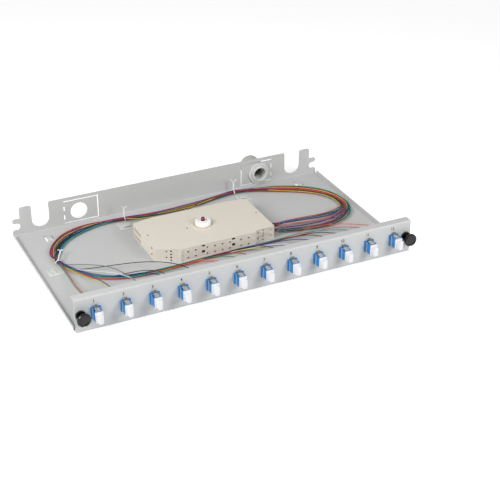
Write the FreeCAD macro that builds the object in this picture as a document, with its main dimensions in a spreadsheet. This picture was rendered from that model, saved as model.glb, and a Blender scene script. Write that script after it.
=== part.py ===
import FreeCAD, Part
import math
import os
import re

import Sketcher

os.makedirs("parts", exist_ok=True)
doc = FreeCAD.newDocument("fibre_patch_drawer")
Vector = FreeCAD.Vector

# Driving sizes in millimetres: x across, y rearward, z up, origin under the tray's middle
SIZES = (
    ("tray_width", 440, "over the side lips"),
    ("tray_depth", 249, "front face to rear face"),
    ("sheet", 1.2, "folded sheet"),
    ("past", 1, "cutters reach past what they cut"),
    ("bend_outer", 1.8, "outside bend radius"),
    ("bend_inner", 0.6, "inside bend radius"),
    ("panel_width", 438, "front panel and floor"),
    ("panel_height", 43.7, "front panel"),
    ("return_depth", 10.8, "flange folded back at the top"),
    ("lip_height", 5.4, "side lips"),
    ("lip_root", 6, "part of the lip's strip that lies in the floor"),
    ("lip_front", 6.5, "corner relief at the front"),
    ("lip_rear", 5.5, "corner relief at the rear"),
    ("relief_depth", 3.4, "notch at the end of a lip"),
    ("relief_width", 1.6, "notch at the end of a lip"),
    ("rear_height", 40.4, "main rear wall"),
    ("rear_corner", 2.5, "corner of the main rear wall"),
    ("slot_centre", 181.7, "open cable slot"),
    ("slot_radius", 11.5, "open cable slot"),
    ("slot_level", 18.8, "start of its round bottom"),
    ("tab_height", 40, "upright tab beside the slot"),
    ("tab_outer", 209, "outer side of the tab"),
    ("tab_corner", 3, "rounded top of the tab"),
    ("finger_reach", 219, "outer finger"),
    ("finger_high", 24.5, "top of the finger"),
    ("finger_corner", 2.9, "rounded tip of the finger"),
    ("notch_centre", 213.5, "round notch under the finger"),
    ("notch_radius", 4.5, "round notch under the finger"),
    ("notch_level", 13.5, "round notch under the finger"),
    ("foot_reach", 219.5, "lowest part of the rear wall"),
    ("plate_inner", 103, "knock-out plate"),
    ("plate_outer", 150.5, "knock-out plate"),
    ("plate_low", 3.4, "knock-out plate"),
    ("plate_high", 36, "knock-out plate"),
    ("plate_cut", 1.7, "slots that outline the plate"),
    ("dash_low", 9.2, "lower dash on the plate's outer side"),
    ("dash_high", 21.8, "upper dash on the plate's outer side"),
    ("dash_length", 6.7, "dashes on the plate's outer side"),
    ("gland_offset", 130, "cable gland from the middle"),
    ("gland_level", 18.8, "cable gland height"),
    ("gland_hole", 11.35, "radius of the gland hole"),
    ("lance_offset", 180, "raised bridge in the floor"),
    ("lance_start", 91, "front end of the bridge"),
    ("lance_length", 16, "bridge"),
    ("lance_width", 6, "bridge"),
    ("lance_slot", 2, "slot beside the bridge"),
    ("lance_rise", 2.6, "bridge above the floor"),
    ("lance_foot", 2, "flat end of the bridge"),
    ("lance_ramp", 2.5, "slope of the bridge"),
    ("lance_shift", 0.45, "the upper face's shift along the slope"),
    ("drain_offset", 211.8, "small hole in the floor"),
    ("drain_back", 96.5, "small hole in the floor"),
    ("drain_radius", 1.8, "small hole in the floor"),
    ("port_pitch", 35.35, "adapter spacing"),
    ("port_level", 22.8, "adapter height"),
    ("opening_width", 9.6, "adapter opening"),
    ("opening_height", 13.4, "adapter opening"),
    ("adapter_width", 9.4, "adapter body"),
    ("adapter_height", 13.2, "adapter body"),
    ("adapter_front", 12, "reach in front of the panel"),
    ("adapter_rear", 14.2, "reach behind the panel face"),
    ("collar_width", 12.2, "adapter collar"),
    ("collar_height", 14.8, "adapter collar"),
    ("collar_depth", 2.4, "adapter collar"),
    ("socket_size", 4.8, "square socket"),
    ("socket_pitch", 6.25, "stacked sockets"),
    ("socket_depth", 8, "socket"),
    ("key_reach", 1.4, "latch slot beside the socket"),
    ("key_height", 2.6, "latch slot beside the socket"),
    ("passage", 0.72, "ferrule passage radius"),
    ("band_front", 5, "clip band, front edge"),
    ("recess", 0.5, "clip band depth"),
    ("window_front", 10.4, "clip window in the top"),
    ("window_width", 6.8, "clip window in the top"),
    ("clip_gauge", 0.4, "spring clip sheet"),
    ("clip_gap", 0.05, "clip clearance"),
    ("clip_overlap", 1, "plate and legs run on under the strap"),
    ("tongue_width", 3.4, "raised tongue of the clip"),
    ("tongue_rise", 4.6, "raised tongue of the clip"),
    ("tongue_lean", 1, "raised tongue of the clip"),
    ("groove_height", 4, "side groove for the clip leg"),
    ("groove_rear", 4.6, "end of the groove behind the panel"),
    ("barb_reach", 0.9, "barb behind the panel"),
    ("barb_gap", 0.3, "barb behind the panel"),
    ("barb_flat", 0.5, "tip of the barb"),
    ("barb_length", 2.6, "barb"),
    ("leg_gap", 0.2, "end of the leg in its groove"),
    ("cap_width", 9.3, "dust cap flange"),
    ("cap_height", 13.2, "dust cap flange"),
    ("cap_flange", 2, "dust cap flange"),
    ("handle_width", 5, "dust cap grip"),
    ("handle_height", 12.4, "dust cap grip"),
    ("handle_reach", 6, "dust cap grip"),
    ("handle_round", 1.1, "dust cap grip"),
    ("plug_gap", 0.07, "running clearance of the plugs"),
    ("plug_length", 7, "dust cap plug"),
    ("connector_rear", 27.2, "connector body behind the panel face"),
    ("housing_gap", 0.1, "connector housing in its socket"),
    ("ferrule_start", 0.5, "behind the sleeve's middle"),
    ("lever_width", 1.8, "latch lever"),
    ("lever_root", 0.8, "root behind the adapter"),
    ("lever_foot", 1.6, "root of the lever"),
    ("lever_bend", 3, "bend in front of the housing's end"),
    ("lever_bow", 0.7, "bow of the lever"),
    ("lever_rise", 2.2, "lift of the lever's tip"),
    ("lever_tip", 1, "tip behind the housing's end"),
    ("lever_gauge", 0.7, "lever"),
    ("boot_length", 10.5, "short connector boot"),
    ("boot_half", 1.1, "half width of the boot's end"),
    ("boot_root", 1.9, "half width of the boot's start"),
    ("boot_step", 0.5, "start of the boot's side tapers"),
    ("boot_trim", 3, "reach of the side tapers"),
    ("ferrule", 0.62, "ferrule radius"),
    ("fastener_offset", 212.3, "push fastener"),
    ("fastener_level", 23, "push fastener"),
    ("fastener_hole", 4.15, "hole in the panel"),
    ("nose_radius", 4, "grommet nose"),
    ("nose_length", 9.2, "grommet nose behind the panel face"),
    ("split_start", 2.6, "start of the split in the nose"),
    ("split_half", 0.5, "half width of the split"),
    ("grommet_radius", 6.25, "grommet collar"),
    ("grommet_depth", 2.8, "grommet collar"),
    ("pin_radius", 2.85, "plunger pin"),
    ("pin_gap", 0.06, "running clearance of the pin"),
    ("knob_radius", 8.25, "plunger head"),
    ("knob_depth", 4.4, "plunger head"),
    ("knob_slot", 1.3, "half width of the notch in the head"),
    ("knob_slot_depth", 1.6, "notch in the head"),
    ("pin_reach", 2, "pin past the nose when pushed"),
    ("plunger_travel", 7, "push from open to locked"),
    ("cassette_side", 80, "half width"),
    ("cassette_front", -29.5, "front face"),
    ("cassette_rear", 63, "rear face"),
    ("front_flat", 46, "left end of the straight front"),
    ("entry_flat", 52, "right end of the straight front"),
    ("rear_flat", 55, "straight part of the rear"),
    ("entry_step", 3.6, "step back of the right end"),
    ("side_corner", 5, "slanted corners"),
    ("front_corner", 13.2, "slanted corner at the left front"),
    ("cassette_height", 8.6, "one cassette"),
    ("cassette_wall", 1.5, "side wall"),
    ("cassette_floor", 1.3, "floor"),
    ("guide_offset", 47, "curved fibre guide"),
    ("guide_radius", 17, "curved fibre guide"),
    ("guide_wall", 1.4, "curved fibre guide"),
    ("guide_height", 6.4, "curved fibre guide"),
    ("hub_radius", 6.5, "boss round the stud"),
    ("lid_thickness", 1.1, "flat lid"),
    ("lid_hole", 1.1, "small holes in the lid"),
    ("stud_back", 18.5, "stud behind the tray's middle"),
    ("stud_radius", 3, "stud"),
    ("stud_hole", 3.35, "stud holes"),
    ("stud_top", 29.6, "top of the stud"),
    ("nut_radius", 9.6, "round nut"),
    ("nut_height", 5.6, "round nut"),
    ("nut_base", 11.6, "thin base of the nut"),
    ("nut_lip", 0.7, "thin base of the nut"),
    ("nut_hole", 3.07, "running clearance on the stud"),
    ("hole_radius", 1, "fibre hole in the cassette wall"),
    ("hole_level", 4.1, "fibre hole in the cassette wall"),
    ("window_side", 20.6, "notch in the top of the front wall"),
    ("window_drop", 2.3, "notch in the top of the front wall"),
    ("window_half", 1.7, "notch in the top of the front wall"),
    ("end_depth", 9, "drilling through the end walls"),
    ("left_hole_back", -5, "fibre hole in the left wall"),
    ("left_hole_level", 6.6, "fibre hole in the left wall"),
    ("entry_start", -18, "fibre opening in the right wall"),
    ("entry_end", -8, "fibre opening in the right wall"),
    ("entry_low", 0.4, "opening above the floor"),
    ("entry_top", 1.2, "wall over the opening"),
    ("grip_start", 32, "recess in the left wall"),
    ("grip_end", 56, "recess in the left wall"),
    ("grip_low", 0.6, "recess above the floor"),
    ("grip_top", 3.2, "wall over the recess"),
    ("grip_depth", 0.8, "recess"),
    ("splice_length", 40, "splice protector"),
    ("splice_radius", 1.35, "splice protector"),
    ("splice_pitch", 3.9, "splice slots"),
    ("comb_start", 35.5, "front of the splice holder"),
    ("comb_rib", 0.9, "rib between the slots"),
    ("comb_base", 0.8, "splice holder base"),
    ("comb_inset", 4, "splice protectors stand out of the holder"),
    ("comb_top", 1.2, "ribs below the cassette's rim"),
    ("sleeve_low", 1, "lower protector, in its radii"),
    ("sleeve_high", 3.1, "upper protector, in its radii"),
    ("loom_radius", 1.9, "twelve fibres together"),
    ("loom_spacing", 4.1, "between the two looms"),
    ("loom_level", 4.35, "height of the looms"),
    ("loom_gap", 0.4, "looms start outside the wall"),
    ("fibre", 0.9, "one buffered fibre"),
    ("tail_low", 1.25, "lower fibre of a port above the floor"),
    ("tail_layer", 1.1, "second fibre of a port"),
    ("tail_gap", 0.1, "fibre behind the boot"),
    ("mount_size", 19.5, "stick-on tie base"),
    ("mount_plate", 0.7, "stick-on tie base"),
    ("mount_rise", 2.6, "stick-on tie base"),
    ("saddle_start", 3.4, "saddle of the tie base"),
    ("saddle_slope", 1, "saddle of the tie base"),
    ("tunnel_half", 1.6, "opening of the saddle"),
    ("saddle_roof", 0.7, "saddle of the tie base"),
    ("tie_gauge", 0.32, "tie strip"),
    ("tie_width", 1.8, "tie strip"),
    ("tie_side", 0.25, "strip beside the looms"),
    ("tie_gap", 0.1, "strip above and below the looms"),
    ("stem_half", 0.7, "half of the twisted stem"),
    ("stem_top", 18.4, "end of the twisted stem"),
    ("stem_length", 15, "twisted stem that lies along the looms"),
    ("stem_thick", 1.2, "twisted stem that lies along the looms"),
    ("thread_radius", 11.2, "gland thread"),
    ("gland_inside", 6.9, "thread end inside the rear face"),
    ("gland_bore", 8.9, "gland bore"),
    ("gland_hex", 15.6, "corner radius of the fixed hexagon"),
    ("gland_flange", 5.2, "fixed hexagon"),
    ("hex_overlap", 0.5, "hexagon joined to the barrel"),
    ("seal_start", 8, "seal inside the barrel"),
    ("seal_gap", 0.1, "seal in the barrel"),
    ("seal_play", 0.2, "seal below the dome nut's end wall"),
    ("seal_squeeze", 0.4, "seal round the cable"),
    ("dome_thread", 10.8, "thread under the dome nut"),
    ("dome_thread_end", 16, "thread under the dome nut"),
    ("dome_radius", 14, "dome nut"),
    ("dome_end", 34.5, "dome nut behind the rear face"),
    ("dome_roof", 5, "end wall of the dome nut"),
    ("dome_taper", 5, "length of the tapered end"),
    ("dome_drop", 4.5, "radius lost in the taper"),
    ("dome_play", 0.3, "between the dome nut and the hexagon"),
    ("dome_bore", 7.2, "cable opening"),
    ("dome_gap", 0.08, "running clearance of the dome nut"),
    ("locknut_hex", 17.3, "corner radius of the inner nut"),
    ("locknut_depth", 5, "inner nut"),
    ("locknut_hole", 11.28, "inner nut"),
)
PORTS = 12
FIRST_PORT = "-port_pitch * %g" % ((PORTS - 1) / 2)
SPLICE_SLOTS = 6
PLANES = {"top": "XY_Plane", "front": "XZ_Plane", "side": "YZ_Plane"}

sheet = doc.addObject("Spreadsheet::Sheet", "sizes")
for row, (alias, value, note) in enumerate(SIZES, 1):
    sheet.set("A%d" % row, alias)
    sheet.set("B%d" % row, str(value))
    sheet.setAlias("B%d" % row, alias)
    sheet.set("C%d" % row, note)
doc.recompute()
nodes = []
views = {}


# Expressions use the sheet's names, written here without its prefix
def sized(text):
    return re.sub(r"[a-z][a-z_]*", lambda found: "sizes." + found.group(0), str(text))


def number(text):
    return float(sheet.evalExpression(sized(text)))


def body(label, x="0", y="0", z="0", turn=0):
    item = doc.addObject("PartDesign::Body", label)
    item.Label = label
    item.AllowCompound = True
    item.Placement = FreeCAD.Placement(Vector(), FreeCAD.Rotation(Vector(0, 0, 1), turn))
    for axis, text in zip("xyz", (x, y, z)):
        item.setExpression("Placement.Base." + axis, sized(text))
    nodes.append(item)
    return item


def origin_feature(owner, role):
    return [part for part in owner.Origin.OriginFeatures if part.Role == role][0]


# A sketch seen from the top, the front or the side, at a level along that direction
def sketch(owner, view, level="0"):
    item = owner.newObject("Sketcher::SketchObject", "outline")
    item.AttachmentSupport = (origin_feature(owner, PLANES[view]), [""])
    item.MapMode = "FlatFace"
    sign = "-1" if view == "front" else "1"
    item.setExpression("AttachmentOffset.Base.z", sized("%s * (%s)" % (sign, level)))
    views[item.Name] = view
    return item


def hold(item, kind, geometry, point, text):
    if kind == "Radius":
        index = item.addConstraint(Sketcher.Constraint(kind, geometry, number(text)))
    else:
        index = item.addConstraint(
            Sketcher.Constraint(kind, -1, 1, geometry, point, number(text))
        )
    item.setExpression("Constraints[%d]" % index, sized(text))


def polygon(item, corners):
    first = item.GeometryCount
    count = len(corners)
    spots = [Vector(number(x), number(y), 0) for x, y in corners]
    for index in range(count):
        item.addGeometry(Part.LineSegment(spots[index], spots[(index + 1) % count]))
    for index in range(count):
        after = first + (index + 1) % count
        item.addConstraint(Sketcher.Constraint("Coincident", first + index, 2, after, 1))
    for index, (x, y) in enumerate(corners):
        hold(item, "DistanceX", first + index, 1, x)
        hold(item, "DistanceY", first + index, 1, y)


def rectangle(item, left, low, right, high):
    polygon(item, [(left, low), (right, low), (right, high), (left, high)])


def circle(item, x, y, radius):
    centre = Vector(number(x), number(y), 0)
    index = item.addGeometry(Part.Circle(centre, Vector(0, 0, 1), number(radius)))
    hold(item, "DistanceX", index, 3, x)
    hold(item, "DistanceY", index, 3, y)
    hold(item, "Radius", index, 3, radius)


def regular(item, x, y, radius, sides=6):
    corners = []
    for index in range(sides):
        angle = 2 * math.pi * index / sides
        across = "(%s) + (%s) * %.6f" % (x, radius, math.cos(angle))
        corners.append((across, "(%s) + (%s) * %.6f" % (y, radius, math.sin(angle))))
    polygon(item, corners)


# Pads and pockets both run in the positive direction of their view
def pad(owner, item, length, middle=False):
    made = owner.newObject("PartDesign::Pad", "pad")
    made.Profile = item
    made.setExpression("Length", sized(length))
    made.Reversed = views[item.Name] == "front"
    made.Midplane = middle
    owner.Tip = made
    return made


def pocket(owner, item, length):
    made = owner.newObject("PartDesign::Pocket", "pocket")
    made.Profile = item
    made.setExpression("Length", sized(length))
    made.Reversed = views[item.Name] != "front"
    owner.Tip = made
    return made


def turned(owner, item, axis):
    made = owner.newObject("PartDesign::Revolution", "turned")
    made.Profile = item
    made.ReferenceAxis = (item, [axis])
    made.Angle = 360
    owner.Tip = made
    return made


def repeated(owner, features, axis, step, count):
    made = owner.newObject("PartDesign::LinearPattern", "repeated")
    made.Originals = features
    made.Direction = (origin_feature(owner, axis), [""])
    made.setExpression("Length", sized("(%s) * %d" % (step, count - 1)))
    made.Occurrences = count
    owner.Tip = made
    return made


# Straight edges along one axis through the given places, in the body's own frame
def straight_edges(shape, axis, places):
    names = []
    for index, edge in enumerate(shape.Edges, 1):
        if len(edge.Vertexes) != 2:
            continue
        first, last = (corner.Point for corner in edge.Vertexes)
        run = last - first
        across = [part for part in "xyz" if part != axis]
        if any(abs(getattr(run, part)) > 0.001 for part in across):
            continue
        for place in places:
            near = [abs(getattr(first, part) - spot) for part, spot in zip(across, place)]
            if max(near) < 0.02:
                names.append("Edge%d" % index)
                break
    return names


def rounded(owner, radius, axis, places, kind="Fillet"):
    doc.recompute()
    solid = owner.Tip
    names = straight_edges(solid.Shape, axis, places)
    if not names:
        raise ValueError("no edge to round on " + owner.Label)
    made = owner.newObject("PartDesign::" + kind, "rounded")
    made.Base = (solid, names)
    made.setExpression("Size" if kind == "Chamfer" else "Radius", sized(radius))
    owner.Tip = made
    return made


# Tray: floor, front panel and returned flange are one folded strip
tray = body("tray")
fold = sketch(tray, "side")
polygon(
    fold,
    [
        ("-tray_depth / 2", "0"),
        ("tray_depth / 2 - sheet / 2", "0"),
        ("tray_depth / 2 - sheet / 2", "sheet"),
        ("-tray_depth / 2 + sheet", "sheet"),
        ("-tray_depth / 2 + sheet", "panel_height - sheet"),
        ("-tray_depth / 2 + return_depth", "panel_height - sheet"),
        ("-tray_depth / 2 + return_depth", "panel_height"),
        ("-tray_depth / 2", "panel_height"),
    ],
)
pad(tray, fold, "panel_width", middle=True)

# The rear wall's outline with its tabs and fingers, the same on both sides
half = [
    ("foot_reach", "0"),
    ("foot_reach", "notch_level - notch_radius"),
    ("notch_centre", "notch_level - notch_radius"),
    ("notch_centre", "notch_level + notch_radius"),
    ("finger_reach", "notch_level + notch_radius"),
    ("finger_reach", "finger_high"),
    ("tab_outer", "finger_high"),
    ("tab_outer", "tab_height"),
    ("slot_centre + slot_radius", "tab_height"),
    ("slot_centre + slot_radius", "slot_level"),
    ("slot_centre - slot_radius", "slot_level"),
    ("slot_centre - slot_radius", "rear_height"),
]
wall = sketch(tray, "front", "tray_depth / 2 - sheet")
polygon(wall, half + [("-(%s)" % x, z) for x, z in reversed(half)])
pad(tray, wall, "sheet")

front_y = -number("tray_depth") / 2
rear_y = number("tray_depth") / 2
gauge = number("sheet")
top_z = number("panel_height")
rounded(tray, "bend_outer", "x", [(front_y, 0), (front_y, top_z), (rear_y, 0)])
inner_bends = [(front_y + gauge, gauge), (front_y + gauge, top_z - gauge), (rear_y - gauge, gauge)]
rounded(tray, "bend_inner", "x", inner_bends)
tip_x = number("finger_reach")
tip_low = number("notch_level + notch_radius")
finger_places = [(side * tip_x, z) for side in (-1, 1) for z in (tip_low, number("finger_high"))]
rounded(tray, "finger_corner", "y", finger_places)
tab_places = []
for side in (-1, 1):
    tab_places.append((side * number("tab_outer"), number("tab_height")))
    tab_places.append((side * number("slot_centre + slot_radius"), number("tab_height")))
    tab_places.append((side * number("foot_reach"), number("notch_level - notch_radius")))
rounded(tray, "tab_corner", "y", tab_places)
main_corner = number("slot_centre - slot_radius")
rounded(tray, "rear_corner", "y", [(side * main_corner, number("rear_height")) for side in (-1, 1)])

# Round slot bottoms, round notches and the two gland holes
rounds = sketch(tray, "front", "tray_depth / 2 - 2 * sheet")
for sign in ("", "-"):
    circle(rounds, sign + "slot_centre", "slot_level", "slot_radius")
    circle(rounds, sign + "notch_centre", "notch_level", "notch_radius")
    circle(rounds, sign + "gland_offset", "gland_level", "gland_hole")
pocket(tray, rounds, "3 * sheet")

# Slots round the two knock-out plates, which hang on three bridges at their outer sides
slots = sketch(tray, "front", "tray_depth / 2 - 2 * sheet")
for sign in ("", "-"):
    near = sign + "(plate_inner)"
    far = sign + "(plate_outer)"
    near_cut = sign + "(plate_inner + plate_cut)"
    far_cut = sign + "(plate_outer - plate_cut)"
    polygon(
        slots,
        [
            (near, "plate_low"),
            (far, "plate_low"),
            (far, "plate_low + plate_cut"),
            (near_cut, "plate_low + plate_cut"),
            (near_cut, "plate_high - plate_cut"),
            (far, "plate_high - plate_cut"),
            (far, "plate_high"),
            (near, "plate_high"),
        ],
    )
    for dash in ("dash_low", "dash_high"):
        rectangle(slots, far_cut, dash, far, dash + " + dash_length")
pocket(tray, slots, "3 * sheet")

# Side lips, folded up along the floor
for sign in ("", "-"):
    lip = sketch(tray, "front", "-tray_depth / 2 + lip_front")
    polygon(
        lip,
        [
            (sign + "(tray_width / 2 - lip_root)", "0"),
            (sign + "(tray_width / 2)", "0"),
            (sign + "(tray_width / 2)", "lip_height"),
            (sign + "(tray_width / 2 - sheet)", "lip_height"),
            (sign + "(tray_width / 2 - sheet)", "sheet"),
            (sign + "(tray_width / 2 - lip_root)", "sheet"),
        ],
    )
    pad(tray, lip, "tray_depth - lip_front - lip_rear")
relief = sketch(tray, "top", "-sheet")
for sign in ("", "-"):
    inside = sign + "(tray_width / 2 - relief_depth)"
    outside = sign + "(tray_width / 2 + sheet)"
    for start in ("-tray_depth / 2 + lip_front - relief_width", "tray_depth / 2 - lip_rear"):
        rectangle(relief, inside, start, outside, start + " + relief_width")
pocket(tray, relief, "3 * sheet")
edge_x = number("tray_width / 2")
rounded(tray, "bend_outer", "y", [(-edge_x, 0), (edge_x, 0)])
rounded(tray, "bend_inner", "y", [(gauge - edge_x, gauge), (edge_x - gauge, gauge)])

# Adapter openings and the holes for the push fasteners
ports = sketch(tray, "front", "-tray_depth / 2 - sheet")
rectangle(
    ports,
    FIRST_PORT + " - opening_width / 2",
    "port_level - opening_height / 2",
    FIRST_PORT + " + opening_width / 2",
    "port_level + opening_height / 2",
)
repeated(tray, [pocket(tray, ports, "3 * sheet")], "X_Axis", "port_pitch", PORTS)
panel_holes = sketch(tray, "front", "-tray_depth / 2 - sheet")
for sign in ("", "-"):
    circle(panel_holes, sign + "fastener_offset", "fastener_level", "fastener_hole")
pocket(tray, panel_holes, "3 * sheet")

# Bridges lanced out of the floor, each with a slot on both sides
bridge_slots = sketch(tray, "top", "-sheet")
for sign in ("", "-"):
    rectangle(
        bridge_slots,
        sign + "(lance_offset) - lance_width / 2 - lance_slot",
        "lance_start",
        sign + "(lance_offset) + lance_width / 2 + lance_slot",
        "lance_start + lance_length",
    )
circle(bridge_slots, "-drain_offset", "drain_back", "drain_radius")
pocket(tray, bridge_slots, "3 * sheet")
for sign in ("", "-"):
    bridge = sketch(tray, "side", sign + "lance_offset - lance_width / 2")
    lance_end = "lance_start + lance_length"
    polygon(
        bridge,
        [
            ("lance_start - past", "0"),
            ("lance_start + lance_foot", "0"),
            ("lance_start + lance_foot + lance_ramp", "lance_rise"),
            (lance_end + " - lance_foot - lance_ramp", "lance_rise"),
            (lance_end + " - lance_foot", "0"),
            (lance_end + " + past", "0"),
            (lance_end + " + past", "sheet"),
            (lance_end + " - lance_foot + lance_shift", "sheet"),
            (lance_end + " - lance_foot - lance_ramp + lance_shift", "lance_rise + sheet"),
            ("lance_start + lance_foot + lance_ramp - lance_shift", "lance_rise + sheet"),
            ("lance_start + lance_foot - lance_shift", "sheet"),
            ("lance_start - past", "sheet"),
        ],
    )
    pad(tray, bridge, "lance_width")


# One port stands at the panel's front face; sockets are stacked, latches to the left
def port_place(number_from_left):
    return "port_pitch * (%g)" % (number_from_left - (PORTS + 1) / 2)


def socket_outline(item, grow="0", latched=False):
    for sign in ("-", ""):
        middle = sign + "socket_pitch / 2"
        side = "(socket_size / 2 - %s)" % grow
        if not latched:
            rectangle(item, "-" + side, middle + " - " + side, side, middle + " + " + side)
            continue
        polygon(
            item,
            [
                ("-" + side, middle + " - " + side),
                (side, middle + " - " + side),
                (side, middle + " + " + side),
                ("-" + side, middle + " + " + side),
                ("-" + side, middle + " + key_height / 2"),
                ("-" + side + " - key_reach", middle + " + key_height / 2"),
                ("-" + side + " - key_reach", middle + " - key_height / 2"),
                ("-" + side, middle + " - key_height / 2"),
            ],
        )


def make_adapter(place):
    item = body("adapter_%02d" % place, port_place(place), "-tray_depth / 2", "port_level")
    block = sketch(item, "front", "-adapter_front")
    rectangle(block, "-adapter_width / 2", "-adapter_height / 2", "adapter_width / 2", "adapter_height / 2")
    pad(item, block, "adapter_front + adapter_rear")
    collar = sketch(item, "front", "-collar_depth")
    rectangle(collar, "-collar_width / 2", "-collar_height / 2", "collar_width / 2", "collar_height / 2")
    pad(item, collar, "collar_depth")
    gap = sketch(item, "front", "-collar_depth")
    rectangle(gap, "-window_width / 2", "adapter_height / 2", "window_width / 2", "collar_height / 2 + past")
    pocket(item, gap, "collar_depth")
    mouth = sketch(item, "front", "-adapter_front - past")
    socket_outline(mouth, latched=True)
    pocket(item, mouth, "socket_depth + past")
    tail = sketch(item, "front", "adapter_rear - socket_depth")
    socket_outline(tail)
    pocket(item, tail, "socket_depth + past")
    passage = sketch(item, "front", "-adapter_front")
    for sign in ("-", ""):
        regular(passage, "0", sign + "socket_pitch / 2", "passage")
    pocket(item, passage, "adapter_front + adapter_rear")
    band = sketch(item, "front", "-band_front")
    inner_half = "(adapter_width / 2 - recess)"
    polygon(
        band,
        [
            ("-adapter_width", "-groove_height / 2"),
            ("-" + inner_half, "-groove_height / 2"),
            ("-" + inner_half, "adapter_height / 2 - recess"),
            (inner_half, "adapter_height / 2 - recess"),
            (inner_half, "-groove_height / 2"),
            ("adapter_width", "-groove_height / 2"),
            ("adapter_width", "adapter_height"),
            ("-adapter_width", "adapter_height"),
        ],
    )
    pocket(item, band, "band_front - collar_depth")
    window = sketch(item, "top", "adapter_height / 2 - recess")
    rectangle(window, "-window_width / 2", "-window_front", "window_width / 2", "-band_front + clip_overlap")
    pocket(item, window, "2 * recess")
    grooves = sketch(item, "front", "-band_front")
    for sign in ("-", ""):
        rectangle(
            grooves,
            sign + inner_half,
            "-groove_height / 2",
            sign + "(adapter_width / 2)",
            "groove_height / 2",
        )
    pocket(item, grooves, "band_front + groove_rear")


def make_cap(place):
    item = body("dust_cap_%02d" % place, port_place(place), "-tray_depth / 2", "port_level")
    flange = sketch(item, "front", "-adapter_front - cap_flange")
    rectangle(flange, "-cap_width / 2", "-cap_height / 2", "cap_width / 2", "cap_height / 2")
    pad(item, flange, "cap_flange")
    grip = sketch(item, "front", "-adapter_front - cap_flange - handle_reach")
    rectangle(grip, "-handle_width / 2", "-handle_height / 2", "handle_width / 2", "handle_height / 2")
    pad(item, grip, "handle_reach")
    plugs = sketch(item, "front", "-adapter_front")
    socket_outline(plugs, "plug_gap")
    pad(item, plugs, "plug_length")
    tip_y = -number("adapter_front + cap_flange + handle_reach")
    high = number("handle_height / 2")
    rounded(item, "handle_round", "x", [(tip_y, -high), (tip_y, high)], "Chamfer")


for port in range(1, PORTS + 1):
    make_adapter(port)
for port in range(1, PORTS + 1):
    make_cap(port)

# Spring clips: a strap over each adapter, a plate in its window, a raised tongue and two barbed legs
clips = body("adapter_clips", FIRST_PORT, "-tray_depth / 2", "port_level")
strap = sketch(clips, "front", "-band_front + clip_gap")
strap_out = "(adapter_width / 2 - clip_gap)"
strap_in = "(adapter_width / 2 - clip_gap - clip_gauge)"
strap_top = "adapter_height / 2 - clip_gap"
leg_low = "-groove_height / 2 + clip_gap"
polygon(
    strap,
    [
        ("-" + strap_out, leg_low),
        ("-" + strap_in, leg_low),
        ("-" + strap_in, strap_top + " - clip_gauge"),
        (strap_in, strap_top + " - clip_gauge"),
        (strap_in, leg_low),
        (strap_out, leg_low),
        (strap_out, strap_top),
        ("-" + strap_out, strap_top),
    ],
)
strap_pad = pad(clips, strap, "band_front - collar_depth - 2 * clip_gap")
plate = sketch(clips, "side", "-window_width / 2 + clip_gap")
polygon(
    plate,
    [
        ("-window_front + clip_gap", strap_top + " - clip_gauge"),
        ("-band_front + clip_overlap", strap_top + " - clip_gauge"),
        ("-band_front + clip_overlap", strap_top),
        ("-window_front + clip_gap", strap_top),
    ],
)
plate_pad = pad(clips, plate, "window_width - 2 * clip_gap")
tongue = sketch(clips, "side", "-tongue_width / 2")
polygon(
    tongue,
    [
        ("-band_front + clip_overlap", strap_top + " - clip_gauge"),
        ("-band_front + clip_overlap + clip_gauge", strap_top + " - clip_gauge"),
        ("-band_front + clip_overlap + clip_gauge + tongue_lean", strap_top + " + tongue_rise"),
        ("-band_front + clip_overlap + tongue_lean", strap_top + " + tongue_rise"),
    ],
)
tongue_pad = pad(clips, tongue, "tongue_width")
clip_features = [strap_pad, plate_pad, tongue_pad]
for sign in ("-", ""):
    leg = sketch(clips, "top", leg_low)
    polygon(
        leg,
        [
            (sign + strap_in, "-band_front + clip_overlap"),
            (sign + strap_out, "-band_front + clip_overlap"),
            (sign + strap_out, "sheet + barb_length"),
            (sign + "(adapter_width / 2 + barb_reach)", "sheet + barb_gap"),
            (sign + "(adapter_width / 2 + barb_reach)", "sheet + barb_gap + barb_flat"),
            (sign + strap_out, "groove_rear - leg_gap"),
            (sign + strap_in, "groove_rear - leg_gap"),
        ],
    )
    clip_features.append(pad(clips, leg, "groove_height - 2 * clip_gap"))
repeated(clips, clip_features, "X_Axis", "port_pitch", PORTS)

# Connectors plugged in from behind: housing, latch lever, ferrule and boot
plugs = body("lc_connectors", FIRST_PORT, "-tray_depth / 2", "port_level - socket_pitch / 2")
housing_start = "adapter_rear - socket_depth + housing_gap"
side = "(socket_size / 2 - plug_gap)"
housing = sketch(plugs, "front", housing_start)
rectangle(housing, "-" + side, "-" + side, side, side)
housing_pad = pad(plugs, housing, "connector_rear - (%s)" % housing_start)
ferrule = sketch(plugs, "front", "sheet / 2 + ferrule_start")
regular(ferrule, "0", "0", "ferrule")
ferrule_pad = pad(plugs, ferrule, housing_start + " - sheet / 2")
lever = sketch(plugs, "top", "-lever_width / 2")
polygon(
    lever,
    [
        ("-" + side, "adapter_rear + lever_root"),
        ("-" + side, "adapter_rear + lever_root + lever_foot"),
        ("-" + side + " - lever_bow", "connector_rear - lever_bend"),
        ("-" + side + " - lever_rise", "connector_rear + lever_tip"),
        ("-" + side + " - lever_rise - lever_gauge", "connector_rear + lever_tip"),
        ("-" + side + " - lever_bow - lever_gauge", "connector_rear - lever_bend - lever_gauge"),
    ],
)
lever_pad = pad(plugs, lever, "lever_width")
boot = sketch(plugs, "side", "-boot_root")
polygon(
    boot,
    [
        ("connector_rear", "-boot_root"),
        ("connector_rear + boot_length", "-boot_half"),
        ("connector_rear + boot_length", "boot_half"),
        ("connector_rear", "boot_root"),
    ],
)
boot_pad = pad(plugs, boot, "2 * boot_root")
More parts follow.
